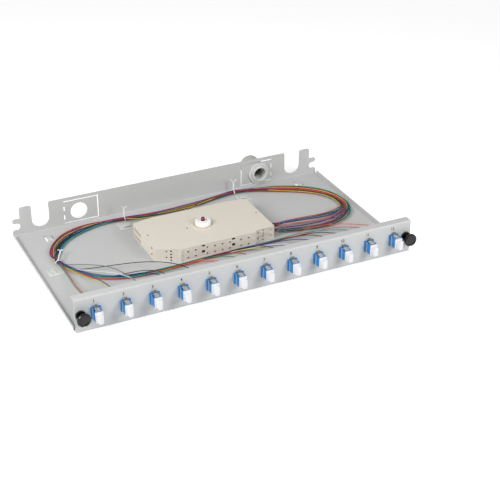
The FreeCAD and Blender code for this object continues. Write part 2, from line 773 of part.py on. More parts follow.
boot_sides = sketch(plugs, "top", "-boot_trim")
for sign in ("-", ""):
    polygon(
        boot_sides,
        [
            (sign + "boot_root", "connector_rear + boot_step"),
            (sign + "boot_trim", "connector_rear + boot_step"),
            (sign + "boot_trim", "connector_rear + boot_length + past"),
            (sign + "boot_half", "connector_rear + boot_length + past"),
            (sign + "boot_half", "connector_rear + boot_length"),
        ],
    )
boot_cut = pocket(plugs, boot_sides, "2 * boot_trim")
plug_features = [housing_pad, ferrule_pad, lever_pad, boot_pad, boot_cut]
many = plugs.newObject("PartDesign::MultiTransform", "connector_grid")
along = plugs.newObject("PartDesign::LinearPattern", "along")
upward = plugs.newObject("PartDesign::LinearPattern", "upward")
for pattern, axis, step, count in (
    (along, "X_Axis", "port_pitch", PORTS),
    (upward, "Z_Axis", "socket_pitch", 2),
):
    pattern.Direction = (origin_feature(plugs, axis), [""])
    pattern.setExpression("Length", sized("%s * %d" % (step, count - 1)))
    pattern.Occurrences = count
many.Originals = plug_features
many.Transformations = [along, upward]
plugs.Tip = many


# Push fasteners: split grommets in the panel and plungers shown pulled out
grommets = body("fastener_grommets", "0", "-tray_depth / 2", "fastener_level")
BORE = "pin_radius + pin_gap"
for sign in ("-", ""):
    at_x = sign + "fastener_offset"
    for outer, start, length in (
        ("grommet_radius", "-grommet_depth", "grommet_depth"),
        ("nose_radius", "-grommet_depth / 2", "nose_length + grommet_depth / 2"),
    ):
        ring = sketch(grommets, "front", start)
        circle(ring, at_x, "0", outer)
        pad(grommets, ring, length)
for sign in ("-", ""):
    at_x = sign + "fastener_offset"
    bore = sketch(grommets, "front", "-grommet_depth - past")
    circle(bore, at_x, "0", BORE)
    pocket(grommets, bore, "grommet_depth + nose_length + 2 * past")
    split = sketch(grommets, "front", "split_start")
    reach = "(nose_radius + past)"
    rectangle(split, at_x + " - " + reach, "-split_half", at_x + " + " + reach, "split_half")
    pocket(grommets, split, "nose_length")


def make_plunger(label, x):
    plunger = body(label, x, "-tray_depth / 2", "fastener_level")
    head = sketch(plunger, "side")
    back = "(grommet_depth + plunger_travel)"
    polygon(
        head,
        [
            ("-%s - knob_depth" % back, "0"),
            ("-%s - knob_depth" % back, "knob_radius"),
            ("-%s" % back, "knob_radius"),
            ("-%s" % back, "pin_radius"),
            ("nose_length - plunger_travel + pin_reach", "pin_radius"),
            ("nose_length - plunger_travel + pin_reach", "0"),
        ],
    )
    turned(plunger, head, "H_Axis")
    notch = sketch(plunger, "front", "-%s - knob_depth - past" % back)
    rectangle(notch, "-knob_slot", "-knob_radius - past", "knob_slot", "-knob_radius + knob_slot_depth")
    pocket(plunger, notch, "knob_depth + past")


make_plunger("left_plunger", "-fastener_offset")
make_plunger("right_plunger", "fastener_offset")


# Cable gland in the right-hand hole: fixed hexagon outside, nut inside, dome nut and seal
gland_at = ("gland_offset", "tray_depth / 2", "gland_level")
gland = body("gland_body", *gland_at)
barrel = sketch(gland, "side")
polygon(
    barrel,
    [
        ("-gland_inside", "gland_bore"),
        ("-gland_inside", "thread_radius"),
        ("gland_flange", "thread_radius"),
        ("gland_flange", "dome_thread"),
        ("dome_thread_end", "dome_thread"),
        ("dome_thread_end", "gland_bore"),
    ],
)
turned(gland, barrel, "H_Axis")
flats = sketch(gland, "front", "0")
regular(flats, "0", "0", "gland_hex")
circle(flats, "0", "0", "thread_radius - hex_overlap")
pad(gland, flats, "gland_flange")

locknut = body("gland_locknut", *gland_at)
nut_shape = sketch(locknut, "front", "-sheet - locknut_depth")
regular(nut_shape, "0", "0", "locknut_hex")
circle(nut_shape, "0", "0", "locknut_hole")
pad(locknut, nut_shape, "locknut_depth")

seal = body("gland_seal", *gland_at)
ring = sketch(seal, "front", "dome_thread_end - seal_start")
regular(ring, "0", "0", "gland_bore - seal_gap", 12)
regular(ring, "0", "0", "dome_bore - seal_squeeze", 12)
pad(seal, ring, "dome_end - dome_roof - seal_play - dome_thread_end + seal_start")

dome = body("gland_dome_nut", *gland_at)
cap = sketch(dome, "side")
polygon(
    cap,
    [
        ("gland_flange + dome_play", "dome_thread + dome_gap"),
        ("gland_flange + dome_play", "dome_radius"),
        ("dome_end - dome_taper", "dome_radius"),
        ("dome_end", "dome_radius - dome_drop"),
        ("dome_end", "dome_bore"),
        ("dome_end - dome_roof", "dome_bore"),
        ("dome_end - dome_roof", "dome_thread + dome_gap"),
    ],
)
turned(dome, cap, "H_Axis")


# Splice cassettes: a shallow cream tub, straight at the front with a slanted left corner
def cassette_corners(inset):
    w = inset
    return [
        ("-front_flat", "cassette_front + " + w),
        ("entry_flat - " + w, "cassette_front + " + w),
        ("entry_flat - " + w, "cassette_front + entry_step + " + w),
        ("cassette_side - " + w, "cassette_front + side_corner + " + w),
        ("cassette_side - " + w, "cassette_rear - side_corner - " + w),
        ("rear_flat", "cassette_rear - " + w),
        ("-rear_flat", "cassette_rear - " + w),
        ("-cassette_side + " + w, "cassette_rear - side_corner - " + w),
        ("-cassette_side + " + w, "cassette_front + front_corner + " + w),
    ]


# Fibre holes: across and, at the ends, also above the cassette's underside
FRONT_HOLES = ("41.3", "31", "15.3", "5.1")
END_HOLES = (("56.5", "5.2"), ("64", "2.6"), ("64", "7.4"), ("-61.5", "2"), ("-61.5", "6.2"), ("-67", "6.2"))
LID_HOLES = (("-22.5", "17"), ("75", "18"), ("-74.5", "21"))


def make_cassette(label, level):
    item = body(label, "0", "0", level)
    shell = sketch(item, "top")
    polygon(shell, cassette_corners("0"))
    pad(item, shell, "cassette_height")
    hollow = sketch(item, "top", "cassette_floor")
    polygon(hollow, cassette_corners("cassette_wall"))
    pocket(item, hollow, "cassette_height")
    guides = sketch(item, "top", "cassette_floor / 2")
    for sign in ("-", ""):
        regular(guides, sign + "guide_offset", "stud_back", "guide_radius", 8)
        regular(guides, sign + "guide_offset", "stud_back", "guide_radius - guide_wall", 8)
    regular(guides, "0", "stud_back", "hub_radius", 8)
    pad(item, guides, "guide_height")
    bore = sketch(item, "top", "-past")
    circle(bore, "0", "stud_back", "stud_hole")
    pocket(item, bore, "cassette_height + 2 * past")
    holes = sketch(item, "front", "cassette_front - past")
    for place in FRONT_HOLES:
        for sign in ("-", ""):
            regular(holes, sign + place, "hole_level", "hole_radius")
    for sign in ("-", ""):
        side = "window_side * %s1" % sign
        rectangle(
            holes,
            side + " - window_half",
            "cassette_height - window_drop",
            side + " + window_half",
            "cassette_height + past",
        )
    pocket(item, holes, "cassette_wall + 2 * past")
    ends = sketch(item, "front", "cassette_front + past")
    for place, level in END_HOLES:
        regular(ends, place, level, "hole_radius")
    pocket(item, ends, "end_depth")
    left_hole = sketch(item, "side", "-cassette_side - past")
    regular(left_hole, "left_hole_back", "left_hole_level", "hole_radius")
    pocket(item, left_hole, "cassette_wall + 2 * past")
    entry = sketch(item, "side", "cassette_side - cassette_wall - past")
    rectangle(entry, "entry_start", "cassette_floor + entry_low", "entry_end", "cassette_height - entry_top")
    pocket(item, entry, "cassette_wall + 2 * past")
    grip = sketch(item, "side", "-cassette_side - past")
    rectangle(grip, "grip_start", "cassette_floor + grip_low", "grip_end", "cassette_height - grip_top")
    pocket(item, grip, "past + grip_depth")


make_cassette("lower_cassette", "sheet")
make_cassette("upper_cassette", "sheet + cassette_height")

lid = body("cassette_lid", "0", "0", "sheet + 2 * cassette_height")
cover = sketch(lid, "top")
polygon(cover, cassette_corners("0"))
circle(cover, "0", "stud_back", "stud_hole")
for x, y in LID_HOLES:
    regular(cover, x, y, "lid_hole")
pad(lid, cover, "lid_thickness")

stud = body("cassette_stud", "0", "stud_back", "0")
stem = sketch(stud, "front")
polygon(
    stem,
    [
        ("0", "sheet"),
        ("stud_radius", "sheet"),
        ("stud_radius", "stud_top"),
        ("0", "stud_top"),
    ],
)
turned(stud, stem, "V_Axis")

nut = body("cassette_nut", "0", "stud_back", "sheet + 2 * cassette_height + lid_thickness")
knob = sketch(nut, "front")
polygon(
    knob,
    [
        ("nut_hole", "0"),
        ("nut_base", "0"),
        ("nut_base", "nut_lip"),
        ("nut_radius", "nut_lip"),
        ("nut_radius", "nut_height"),
        ("nut_hole", "nut_height"),
    ],
)
turned(nut, knob, "V_Axis")

# Splice holders and the protectors that lie in their slots
for name, level in (("lower", "sheet"), ("upper", "sheet + cassette_height")):
    comb = body("splice_holder_" + name, "0", "comb_start", level + " + cassette_floor")
    base = sketch(comb, "top")
    comb_half = "(splice_length / 2 - comb_inset)"
    comb_depth = "splice_pitch * %d + comb_rib" % SPLICE_SLOTS
    rectangle(base, "-" + comb_half, "0", comb_half, comb_depth)
    pad(comb, base, "comb_base")
    rib = sketch(comb, "top")
    rectangle(rib, "-" + comb_half, "0", comb_half, "comb_rib")
    rib_pad = pad(comb, rib, "cassette_height - cassette_floor - comb_top")
    repeated(comb, [rib_pad], "Y_Axis", "splice_pitch", SPLICE_SLOTS + 1)
    first = "comb_start + comb_rib + (splice_pitch - comb_rib) / 2"
    sleeves = body("splice_protectors_" + name, "0", first, level + " + cassette_floor + comb_base")
    section = sketch(sleeves, "side", "-splice_length / 2")
    for layer in ("sleeve_low", "sleeve_high"):
        regular(section, "0", layer + " * splice_radius", "splice_radius")
    pair = pad(sleeves, section, "splice_length")
    repeated(sleeves, [pair], "Y_Axis", "splice_pitch", SPLICE_SLOTS)


# Cords: straight runs joined by large tangent arcs
def bent_wire(label, spots):
    edges = []
    start = spots[0]
    radii = []
    for before, corner, after in zip(spots, spots[1:], spots[2:]):
        way_in = corner - before
        way_out = after - corner
        reach = 0.45 * min(way_in.Length, way_out.Length)
        half_turn = way_in.getAngle(way_out) / 2
        radius = reach / math.tan(half_turn)
        way_in.normalize()
        way_out.normalize()
        toward = way_out - way_in
        toward.normalize()
        first = corner - way_in * reach
        last = corner + way_out * reach
        middle = corner + toward * (radius / math.cos(half_turn) - radius)
        edges.append(Part.LineSegment(start, first).toShape())
        edges.append(Part.Arc(first, middle, last).toShape())
        radii.append(radius)
        start = last
    edges.append(Part.LineSegment(start, spots[-1]).toShape())
    print(label, "bend radii", [round(radius, 1) for radius in radii])
    return Part.Wire(edges)


# A section of equal sides swept along the route, kept upright all the way
def sweep(route, radius, sides):
    start = route.Vertexes[0].Point
    way = route.Edges[0].tangentAt(route.Edges[0].FirstParameter)
    across = Vector(0, 0, 1).cross(way)
    across.normalize()
    upward = way.cross(across)
    corners = []
    for index in range(sides + 1):
        angle = 2 * math.pi * (index % sides + 0.5) / sides
        corners.append(start + across * (radius * math.cos(angle)) + upward * (radius * math.sin(angle)))
    maker = Part.BRepOffsetAPI.MakePipeShell(route)
    maker.setBiNormalMode(Vector(0, 0, 1))
    maker.add(Part.makePolygon(corners))
    maker.build()
    maker.makeSolid()
    solid = maker.shape()
    if solid.Volume < 0:
        solid.reverse()
    area = sides / 2 * radius * radius * math.sin(2 * math.pi / sides)
    print("length", round(route.Length, 1), "volume over section", round(solid.Volume / area, 1))
    return solid


def cord_node(label, solids):
    item = doc.addObject("Part::Feature", label)
    item.Label = label
    item.Shape = solids[0] if len(solids) == 1 else Part.makeCompound(solids)
    item.Placement = FreeCAD.Placement()
    nodes.append(item)


# Middle line of the ring of fibres, from the cassettes round to the front run
RING = (
    (126, -15.5),
    (176, -20),
    (208, 12),
    (200, 62),
    (163, 98),
    (112, 114),
    (56, 107.5),
    (0, 99),
    (-60, 101),
    (-130, 108),
    (-178, 93),
    (-197, 50),
    (-178, 2),
    (-148, -30),
)
FRONT_RUN = ((-104, -38.5), (-30, -38.5), (150, -31.5))
ENTRY_MIDDLE = -13
ENTRY_SHARE = 0.4
UPPER_LOOM_END = -52
LOWER_LOOM_END = 150


def beside(points, distance):
    moved = []
    for index, (x, y) in enumerate(points):
        before = points[max(index - 1, 0)]
        after = points[min(index + 1, len(points) - 1)]
        run = Vector(after[0] - before[0], after[1] - before[1], 0)
        run.normalize()
        moved.append((x - run.y * distance, y + run.x * distance))
    return moved


def loom(label, distance, entry_level, end_x):
    path = [point for point in RING + FRONT_RUN if point in RING or point[0] < end_x]
    last_run = [point for point in FRONT_RUN if point[0] >= end_x]
    if last_run:
        (x0, y0), (x1, y1) = path[-1], last_run[0]
        path.append((end_x, y0 + (y1 - y0) * (end_x - x0) / (x1 - x0)))
    level = number("loom_level")
    outside = number("cassette_side + loom_gap")
    spots = [Vector(outside, ENTRY_MIDDLE + distance * ENTRY_SHARE, number(entry_level))]
    spots.extend(Vector(x, y, level) for x, y in beside(path, distance))
    cord_node(label, [sweep(bent_wire(label, spots), number("loom_radius"), 5)])


spacing = number("loom_spacing") / 2
loom("fibre_loom_upper", -spacing, "sheet + 1.5 * cassette_height", UPPER_LOOM_END)
loom("fibre_loom_lower", spacing, "sheet + 0.5 * cassette_height", LOWER_LOOM_END)


# Each port's two fibres leave the looms and climb to the connector boots
def run_level(x):
    line = RING[-2:] + FRONT_RUN
    for (x0, y0), (x1, y1) in zip(line, line[1:]):
        if x <= x1:
            return y0 + (y1 - y0) * (x - x0) / (x1 - x0)
    return line[-1][1]


LEFT_TAILS = {1: ((-194.2, 18), -38), 2: ((-177.5, -8), -38), 3: ((-150, -35.5), -52)}
TAIL_RUN = 28
TAIL_TURN = 6
BESIDE_BOTH = 4.9
BESIDE_ONE = 0.9


def tail_route(port):
    x = number(port_place(port))
    if port in LEFT_TAILS:
        start, bend_y = LEFT_TAILS[port]
        return x, [start, (x, bend_y)]
    gap = BESIDE_BOTH if port <= PORTS / 2 else BESIDE_ONE
    return x, [(x - TAIL_RUN, run_level(x - TAIL_RUN) - gap), (x, run_level(x) - gap - TAIL_TURN)]


tails = []
fibre_half = number("fibre / 2")
for port in range(1, PORTS + 1):
    place, start = tail_route(port)
    for layer, sign in ((0, -1), (1, 1)):
        low = number("sheet + tail_low + tail_layer * %d" % layer)
        high = number("port_level") + sign * number("socket_pitch") / 2
        boot_end = number("connector_rear + boot_length + tail_gap - tray_depth / 2")
        spots = [Vector(x, y, low) for x, y in start]
        spots.append(Vector(place, boot_end, high))
        route = bent_wire("tail %d" % port, spots)
        tails.append(sweep(route, fibre_half * math.sqrt(2), 3))
cord_node("fibre_tails", tails)


# Stick-on tie bases and plastic-covered wire ties that hold the looms
def make_mount(label, x, y, turn=0):
    item = body(label, x, y, "sheet", turn)
    foot = sketch(item, "top")
    rectangle(foot, "-mount_size / 2", "-mount_size / 2", "mount_size / 2", "mount_size / 2")
    pad(item, foot, "mount_plate")
    saddle = sketch(item, "side", "-mount_size / 4")
    polygon(
        saddle,
        [
            ("-mount_size / 2 + saddle_start", "mount_plate / 2"),
            ("-mount_size / 2 + saddle_start + saddle_slope", "mount_rise"),
            ("0", "mount_rise"),
            ("saddle_slope", "mount_plate / 2"),
        ],
    )
    pad(item, saddle, "mount_size / 2")
    tunnel = sketch(item, "side", "-mount_size / 2")
    middle = "-mount_size / 4"
    roof = "mount_rise - saddle_roof"
    rectangle(tunnel, middle + " - tunnel_half", "mount_plate", middle + " + tunnel_half", roof)
    pocket(item, tunnel, "mount_size")


# The two free ends above a standing stem, along the looms and up from the floor
FREE_ENDS = (("4.6", "22"), ("4", "23"), ("0", "19.6"), ("-3.6", "24"), ("-4.5", "23.3"))


def make_tie(label, x, y, turn, standing):
    item = body(label, x, y, "0", turn)
    hoop = sketch(item, "front", "-tie_width / 2")
    reach = "(loom_spacing / 2 + loom_radius + tie_side)"
    low = "(loom_level - loom_radius - tie_gap)"
    high = "(loom_level + loom_radius + tie_gap)"
    rectangle(hoop, "-" + reach, low, reach, high)
    out = "(loom_spacing / 2 + loom_radius + tie_side + tie_gauge)"
    rectangle(hoop, "-" + out, low + " - tie_gauge", out, high + " + tie_gauge")
    pad(item, hoop, "tie_width")
    tail = sketch(item, "side", "-tie_width / 4")
    base = high + " + tie_gauge / 2"
    if standing:
        corners = [
            ("-stem_half", base),
            ("stem_half", base),
            ("stem_half", "stem_top"),
            *FREE_ENDS,
            ("-stem_half", "stem_top"),
        ]
    else:
        corners = [
            ("-stem_half", base),
            ("stem_half", base),
            ("2 * stem_half", base + " + stem_thick"),
            ("stem_length", base + " + stem_thick"),
            ("stem_length", base + " + 2 * stem_thick"),
            ("0", base + " + 2 * stem_thick"),
        ]
    polygon(tail, corners)
    pad(item, tail, "tie_width / 2")


# A tie goes where the looms' middle line crosses the given line, turned along it
def place_tie(label, crossing, standing):
    way = 0 if crossing[1] is None else 1
    for edge in middle_line.Edges:
        ends = [corner.Point for corner in edge.Vertexes]
        if (ends[0][way] - crossing[way]) * (ends[1][way] - crossing[way]) > 0:
            continue
        if way == 0 and ends[0].y < 0 or way == 1 and ends[0].x > 0:
            continue
        low, high = edge.FirstParameter, edge.LastParameter
        for step in range(40):
            half = (low + high) / 2
            if (edge.valueAt(low)[way] - crossing[way]) * (edge.valueAt(half)[way] - crossing[way]) <= 0:
                high = half
            else:
                low = half
        spot = edge.valueAt(half)
        run = edge.tangentAt(half)
        turn = math.degrees(math.atan2(-run.x, run.y))
        make_tie(label, "%.3f" % spot.x, "%.3f" % spot.y, turn, standing)
        return


middle_line = bent_wire("middle line", [Vector(x, y, 0) for x, y in RING + FRONT_RUN])
make_mount("tie_mount_rear_left", "-79.5", "88", 0)
make_mount("tie_mount_rear_right", "93.5", "95.5", 0)
make_mount("tie_mount_left", "-198.6", "14.5", -90)
place_tie("tie_rear_left", (-76, None), True)
place_tie("tie_rear_right", (86, None), True)
place_tie("tie_left", (None, 30.5), False)

# Every object is checked, then each node goes to its own file
doc.recompute()
for item in doc.Objects:
    if "Invalid" in item.State or "Error" in item.State:
        raise ValueError("%s of %s is not valid: %s" % (item.Name, item.Label, item.State))
for item in nodes:
    shape = item.Shape
    if shape.isNull() or not shape.isValid() or shape.Volume <= 0:
        raise ValueError("shape of %s is not valid" % item.Label)
    shape.exportStep("parts/%s.step" % item.Label)
    print(item.Label, len(shape.Solids), "solids", round(shape.Volume, 1), "cubic mm")
print(len(nodes), "nodes")
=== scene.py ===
import math
import random

import bpy
from bpy.props import FloatProperty, FloatVectorProperty, IntProperty
from mathutils import Euler, Matrix, Vector


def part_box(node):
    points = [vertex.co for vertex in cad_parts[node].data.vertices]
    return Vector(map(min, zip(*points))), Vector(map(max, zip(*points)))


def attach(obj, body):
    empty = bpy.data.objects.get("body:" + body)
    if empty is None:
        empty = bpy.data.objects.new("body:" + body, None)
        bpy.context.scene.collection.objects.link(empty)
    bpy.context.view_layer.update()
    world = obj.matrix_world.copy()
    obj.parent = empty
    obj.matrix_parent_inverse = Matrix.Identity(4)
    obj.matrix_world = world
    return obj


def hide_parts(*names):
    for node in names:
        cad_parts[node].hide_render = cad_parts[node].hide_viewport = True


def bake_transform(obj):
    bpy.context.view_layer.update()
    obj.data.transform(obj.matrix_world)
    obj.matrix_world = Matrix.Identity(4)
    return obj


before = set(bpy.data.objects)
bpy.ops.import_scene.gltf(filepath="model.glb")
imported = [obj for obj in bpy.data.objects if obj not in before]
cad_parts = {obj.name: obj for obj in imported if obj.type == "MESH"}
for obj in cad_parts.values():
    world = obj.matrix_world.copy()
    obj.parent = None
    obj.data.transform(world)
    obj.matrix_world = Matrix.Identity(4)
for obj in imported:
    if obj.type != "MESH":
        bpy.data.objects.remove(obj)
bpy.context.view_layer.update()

bl_info = {
    "name": "Fibre patch drawer",
    "version": (1, 0, 0),
    "blender": (4, 5, 0),
    "location": "3D View > Sidebar > Drawer",
    "description": "Finishes, fibres, ties, caps and small parts of a sliding fibre patch drawer",
    "category": "Object",
}

MM = 0.001
TINY = 0.001 * MM
PORTS = 12
# In millimetres from here on, where no MM and no note says otherwise
TRAY_LOW, TRAY_HIGH = (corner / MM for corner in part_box("tray"))
PANEL_FACE = TRAY_LOW.y
SHEET = 1.2
SOCKET_RISE = 3.125  # from the middle of an adapter to that of either socket
MATERIALS = {}


def linear(code):
    """A colour written as six hexadecimal digits, in Blender's linear values"""
    parts = [int(code[place : place + 2], 16) / 255 for place in (0, 2, 4)]
    return [part / 12.92 if part <= 0.04045 else ((part + 0.055) / 1.055) ** 2.4 for part in parts]


def darker(colour, share):
    return [part * share for part in colour]


def colour_of(name, description, code):
    return FloatVectorProperty(
        name=name, description=description, subtype="COLOR", size=3, min=0, max=1, default=linear(code)
    )


def length_of(name, description, value):
    return FloatProperty(name=name, description=description, default=value * MM, unit="LENGTH", precision=5)


def number_of(name, description, value, unit="NONE"):
    return FloatProperty(name=name, description=description, default=value, unit=unit)


# Sizes and colours that a user may change


class DrawerFinish(bpy.types.PropertyGroup):
    """Colours of the finishes"""

    powder: colour_of("Powder coat", "Tray, main colour", "C4C5C4")
    powder_dark: colour_of("Powder coat shade", "Tray, darker clouds", "BDBEBD")
    adapter: colour_of("Adapter", "Blue moulded plastic", "0C7CC4")
    cap: colour_of("Cap", "White soft plastic", "DFDFE2")
    steel: colour_of("Spring steel", "Clips", "CBCAC6")
    knob: colour_of("Knob", "Black nylon", "060708")
    cream: colour_of("Cream", "Splice cassettes", "DDD6CA")
    # Painted shade at the foot of the round nut, where the gap under it lies in shadow
    seam: colour_of("Seam", "Foot of the round nut", "B79E84")
    # Painted shade: a brown that darkens the edges of the holes in the cassettes and in the lid
    hollow: colour_of("Hollow", "Edges of the holes in the cassettes", "8A4A1A")
    nut: colour_of("Nut", "White plastic nut", "F6F5F2")
    stud_tip: colour_of("Stud tip", "Dark red end of the stud", "9A2A35")
    gland: colour_of("Gland", "Light grey nylon", "D0D2CE")
    rubber: colour_of("Rubber", "Seal in the gland", "666A66")
    tie: colour_of("Tie", "White plastic-covered wire", "ECECEC")
    mount: colour_of("Tie base", "Clear grey-white plastic", "CFD1CE")
    ink: colour_of("Ink", "Port numbers", "1C1D1F")
    comb: colour_of("Comb", "Splice holders", "B9BBBB")
    sleeve: colour_of("Sleeve", "Splice protectors", "DCE0E4")


class DrawerJackets(bpy.types.PropertyGroup):
    """Colours of the fibre jackets"""

    blue: colour_of("Blue", "Fibre jacket", "163F8C")
    orange: colour_of("Orange", "Fibre jacket", "E64E1A")
    green: colour_of("Green", "Fibre jacket", "0C8244")
    brown: colour_of("Brown", "Fibre jacket", "521F17")
    grey: colour_of("Grey", "Fibre jacket", "6E7274")
    white: colour_of("White", "Fibre jacket", "DDE0E2")
    red: colour_of("Red", "Fibre jacket", "B40F19")
    black: colour_of("Black", "Fibre jacket", "101215")
    yellow: colour_of("Yellow", "Fibre jacket", "DCC116")
    violet: colour_of("Violet", "Fibre jacket", "44227C")
    pink: colour_of("Pink", "Fibre jacket", "D4566C")
    turquoise: colour_of("Turquoise", "Fibre jacket", "1FA28E")


class DrawerSizes(bpy.types.PropertyGroup):
    """Sizes of the small parts"""

    number_size: length_of("Number size", "Letter size of the port numbers", 5.2)
    number_level: length_of("Number level", "Height of the port numbers", 37.4)
    fibre: length_of("Fibre", "Diameter of a buffered fibre", 0.98)
    wire: length_of("Tie wire", "Radius of the covered tie wire", 0.55)
    seed: IntProperty(name="Seed", description="Seed of the fibres' small differences", default=7)


class DrawerStage(bpy.types.PropertyGroup):
    """Light and view"""

    left: number_of("Left light", "Soft lamp at the left", 9.5, "POWER")
    front: number_of("Front light", "Soft lamp at the front right", 4.9, "POWER")
    top: number_of("Top light", "Large lamp overhead", 0.5, "POWER")
    ambient: number_of("Ambient", "Strength of the surrounding light", 0.45)
    lens: number_of("Lens", "Camera lens on a 36 mm sensor", 87.51)


# Shader maths


class Value:
    """A shader socket that takes part in plain arithmetic"""

    def __init__(self, paint, socket):
        self.paint = paint
        self.socket = socket

    def math(self, operation, first, second):
        return self.paint.node("ShaderNodeMath", {"operation": operation}, {0: first, 1: second})

    def __add__(self, other):
        return self.math("ADD", self, other)

    __radd__ = __add__

    def __mul__(self, other):
        return self.math("MULTIPLY", self, other)

    __rmul__ = __mul__

    def __sub__(self, other):
        return self.math("SUBTRACT", self, other)

    def __rsub__(self, other):
        return self.math("SUBTRACT", other, self)

    def above(self, level):
        """1 where the value lies above the level, else 0"""
        return self.math("GREATER_THAN", self, level)

    def below(self, level):
        """1 where the value lies below the level, else 0"""
        return self.math("LESS_THAN", self, level)


class Paint:
    """One procedural material built round the standard surface shader"""

    def __init__(self, name, **steady):
        self.material = bpy.data.materials.new(name)
        self.material.use_nodes = True
        self.tree = self.material.node_tree
        self.surface = self.tree.nodes["Principled BSDF"]
        for key, value in steady.items():
            self.surface.inputs[key.replace("_", " ")].default_value = value
        self.place = self.node("ShaderNodeTexCoord", out="Object")

    def node(self, kind, settings=None, sockets=None, out=0):
        """Makes any node: its settings first, then values or links for its sockets"""
        made = self.tree.nodes.new(kind)
        for key, value in (settings or {}).items():
            setattr(made, key, value)
        for key, value in (sockets or {}).items():
            self.feed(made.inputs[key], value)
        return Value(self, made.outputs[out])

    def feed(self, socket, value):
        if isinstance(value, Value):
            self.tree.links.new(value.socket, socket)
        else:
            socket.default_value = value

    def noise(self, scale, detail=2, stretch=(1, 1, 1)):
        spot = self.node("ShaderNodeMapping", {}, {"Vector": self.place, "Scale": stretch})
        return self.node("ShaderNodeTexNoise", {}, {"Vector": spot, "Scale": scale, "Detail": detail})

    def axis(self, name):
        return self.node("ShaderNodeSeparateXYZ", {}, {"Vector": self.place}, name)

    def mix(self, factor, first, second):
        first, second = (part if isinstance(part, Value) else (*part, 1) for part in (first, second))
        return self.node("ShaderNodeMix", {"data_type": "RGBA"}, {0: factor, 6: first, 7: second}, 2)

    def colour(self, value):
        self.feed(self.surface.inputs["Base Color"], value if isinstance(value, Value) else (*value, 1))

    def rough(self, value):
        self.feed(self.surface.inputs["Roughness"], value)

    def metal(self, value):
        self.feed(self.surface.inputs["Metallic"], value)

    def bump(self, height, strength, depth):
        made = self.node("ShaderNodeBump", {}, {"Strength": strength, "Distance": depth * MM, "Height": height})
        self.feed(self.surface.inputs["Normal"], made)

    def grain(self, scale, base, spread, strength, depth=0.03):
        """Fine grain in both the gloss and the relief"""
        fine = self.noise(scale)
        self.rough(fine * spread + base)
        self.bump(fine, strength, depth)


def powder_coat(finish):
    """Faintly clouded coat with a fine grain"""
    paint = Paint("powder_coat", Specular_IOR_Level=0.4)
    paint.colour(paint.mix(paint.noise(14, 3), finish.powder, finish.powder_dark))
    paint.grain(2200, 0.4, 0.14, 0.12)
    return paint.material


def moulded(name, colour, roughness, shade=0.93, scale=900, strength=0.12):
    """Moulded plastic: faint clouding, fine spark-eroded grain"""
    paint = Paint(name, Specular_IOR_Level=0.45)
    paint.colour(paint.mix(paint.noise(60, 3), colour, darker(colour, shade)))
    paint.grain(scale, roughness, 0.12, strength)
    return paint.material


def jacket(name, colour):
    """Tight-buffered fibre jacket: even colour, slight sheen"""
    paint = Paint(name, Specular_IOR_Level=0.5)
    paint.colour(paint.mix(paint.noise(40, 2), colour, darker(colour, 0.82)))
    paint.rough(paint.noise(300, 1) * 0.15 + 0.32)
    return paint.material


def spring_steel(finish):
    """Bright rolled sheet; the raised tongues are darker"""
    paint = Paint("spring_steel", Specular_IOR_Level=0.5)
    streaks = paint.noise(500, 3, (1, 14, 1))
    sheet = paint.mix(streaks, finish.steel, darker(finish.steel, 0.75))
    tongue = paint.axis("Z").above(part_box("adapter_01")[1].z)
    paint.colour(paint.mix(tongue, sheet, darker(finish.steel, 0.25)))
    paint.metal(0.6)
    paint.rough(streaks * 0.25 + 0.3)
    paint.bump(streaks, 0.1, 0.02)
    return paint.material


def connector_plastic(finish):
    """Blue housings with light grey boots, split at the end of the housing"""
    paint = Paint("connector_plastic", Specular_IOR_Level=0.45)
    boot = paint.axis("Y").above((PANEL_FACE + 27.1) * MM)
    paint.colour(paint.mix(boot, finish.adapter, finish.powder))
    paint.grain(800, 0.38, 0.12, 0.1)
    return paint.material


def cream_plastic(finish):
    """Cream; the edges of the holes through the walls get a painted brown shade, so that the holes look dark"""
    paint = Paint("cream_plastic", Specular_IOR_Level=0.4)
    outside = paint.mix(paint.noise(28, 3), finish.cream, darker(finish.cream, 0.96))
    low, high = box("lower_cassette")
    corner, slope, entry, entry_step, rim_top = 46, 0.388, 51.5, 5.3, 18.35
    x = paint.axis("X")
    y = paint.axis("Y")

    def deeper(depth):
        """Deeper than this behind the left, slanted and front walls"""
        inside = x.above((low.x + depth) * MM) * y.above((low.y + depth) * MM)
        inside = inside * (y + (x + corner * MM) * slope).above((low.y + depth * 1.1) * MM)
        return inside * (x.below(entry * MM) + y.above((low.y + entry_step + depth) * MM)).above(0.5)

    # Painted shade: a band from 0.3 to 1.45 mm deep behind the walls darkens the holes and windows
    edges = deeper(0.3) * (1 - deeper(1.45))
    edges = edges * x.below((high.x - 0.3) * MM) * paint.axis("Z").below(rim_top * MM)
    paint.colour(paint.mix(edges, outside, finish.hollow))
    paint.grain(1300, 0.42, 0.15, 0.15, 0.04)
    return paint.material


def stained(name, colour, shade, level):
    """Moulded plastic with a painted shade under a level, away from the outer walls"""
    paint = Paint(name, Specular_IOR_Level=0.42)
    outside = paint.mix(paint.noise(60, 3), colour, darker(colour, 0.96))
    x = paint.axis("X")
    within = x.above(-77 * MM) * x.below(77 * MM) * paint.axis("Y").above(-10 * MM)
    # Painted shade: darker under the level, inside the lid's holes and on the nut's foot
    low = paint.axis("Z").below(level * MM) * within
    paint.colour(paint.mix(low, outside, shade))
    paint.grain(1300, 0.36, 0.14, 0.15)
    return paint.material


def red_tip(finish):
    """Dark red dip coat, worn to grey at the very end"""
    paint = Paint("stud_tip", Specular_IOR_Level=0.5)
    worn = paint.axis("Z").above((box("cassette_stud")[1].z - 0.9) * MM)
    red = paint.mix(paint.noise(700), finish.stud_tip, darker(finish.stud_tip, 0.7))
    paint.colour(paint.mix(worn, red, linear("4A3C3A")))
    paint.grain(700, 0.25, 0.1, 0.08)
    return paint.material


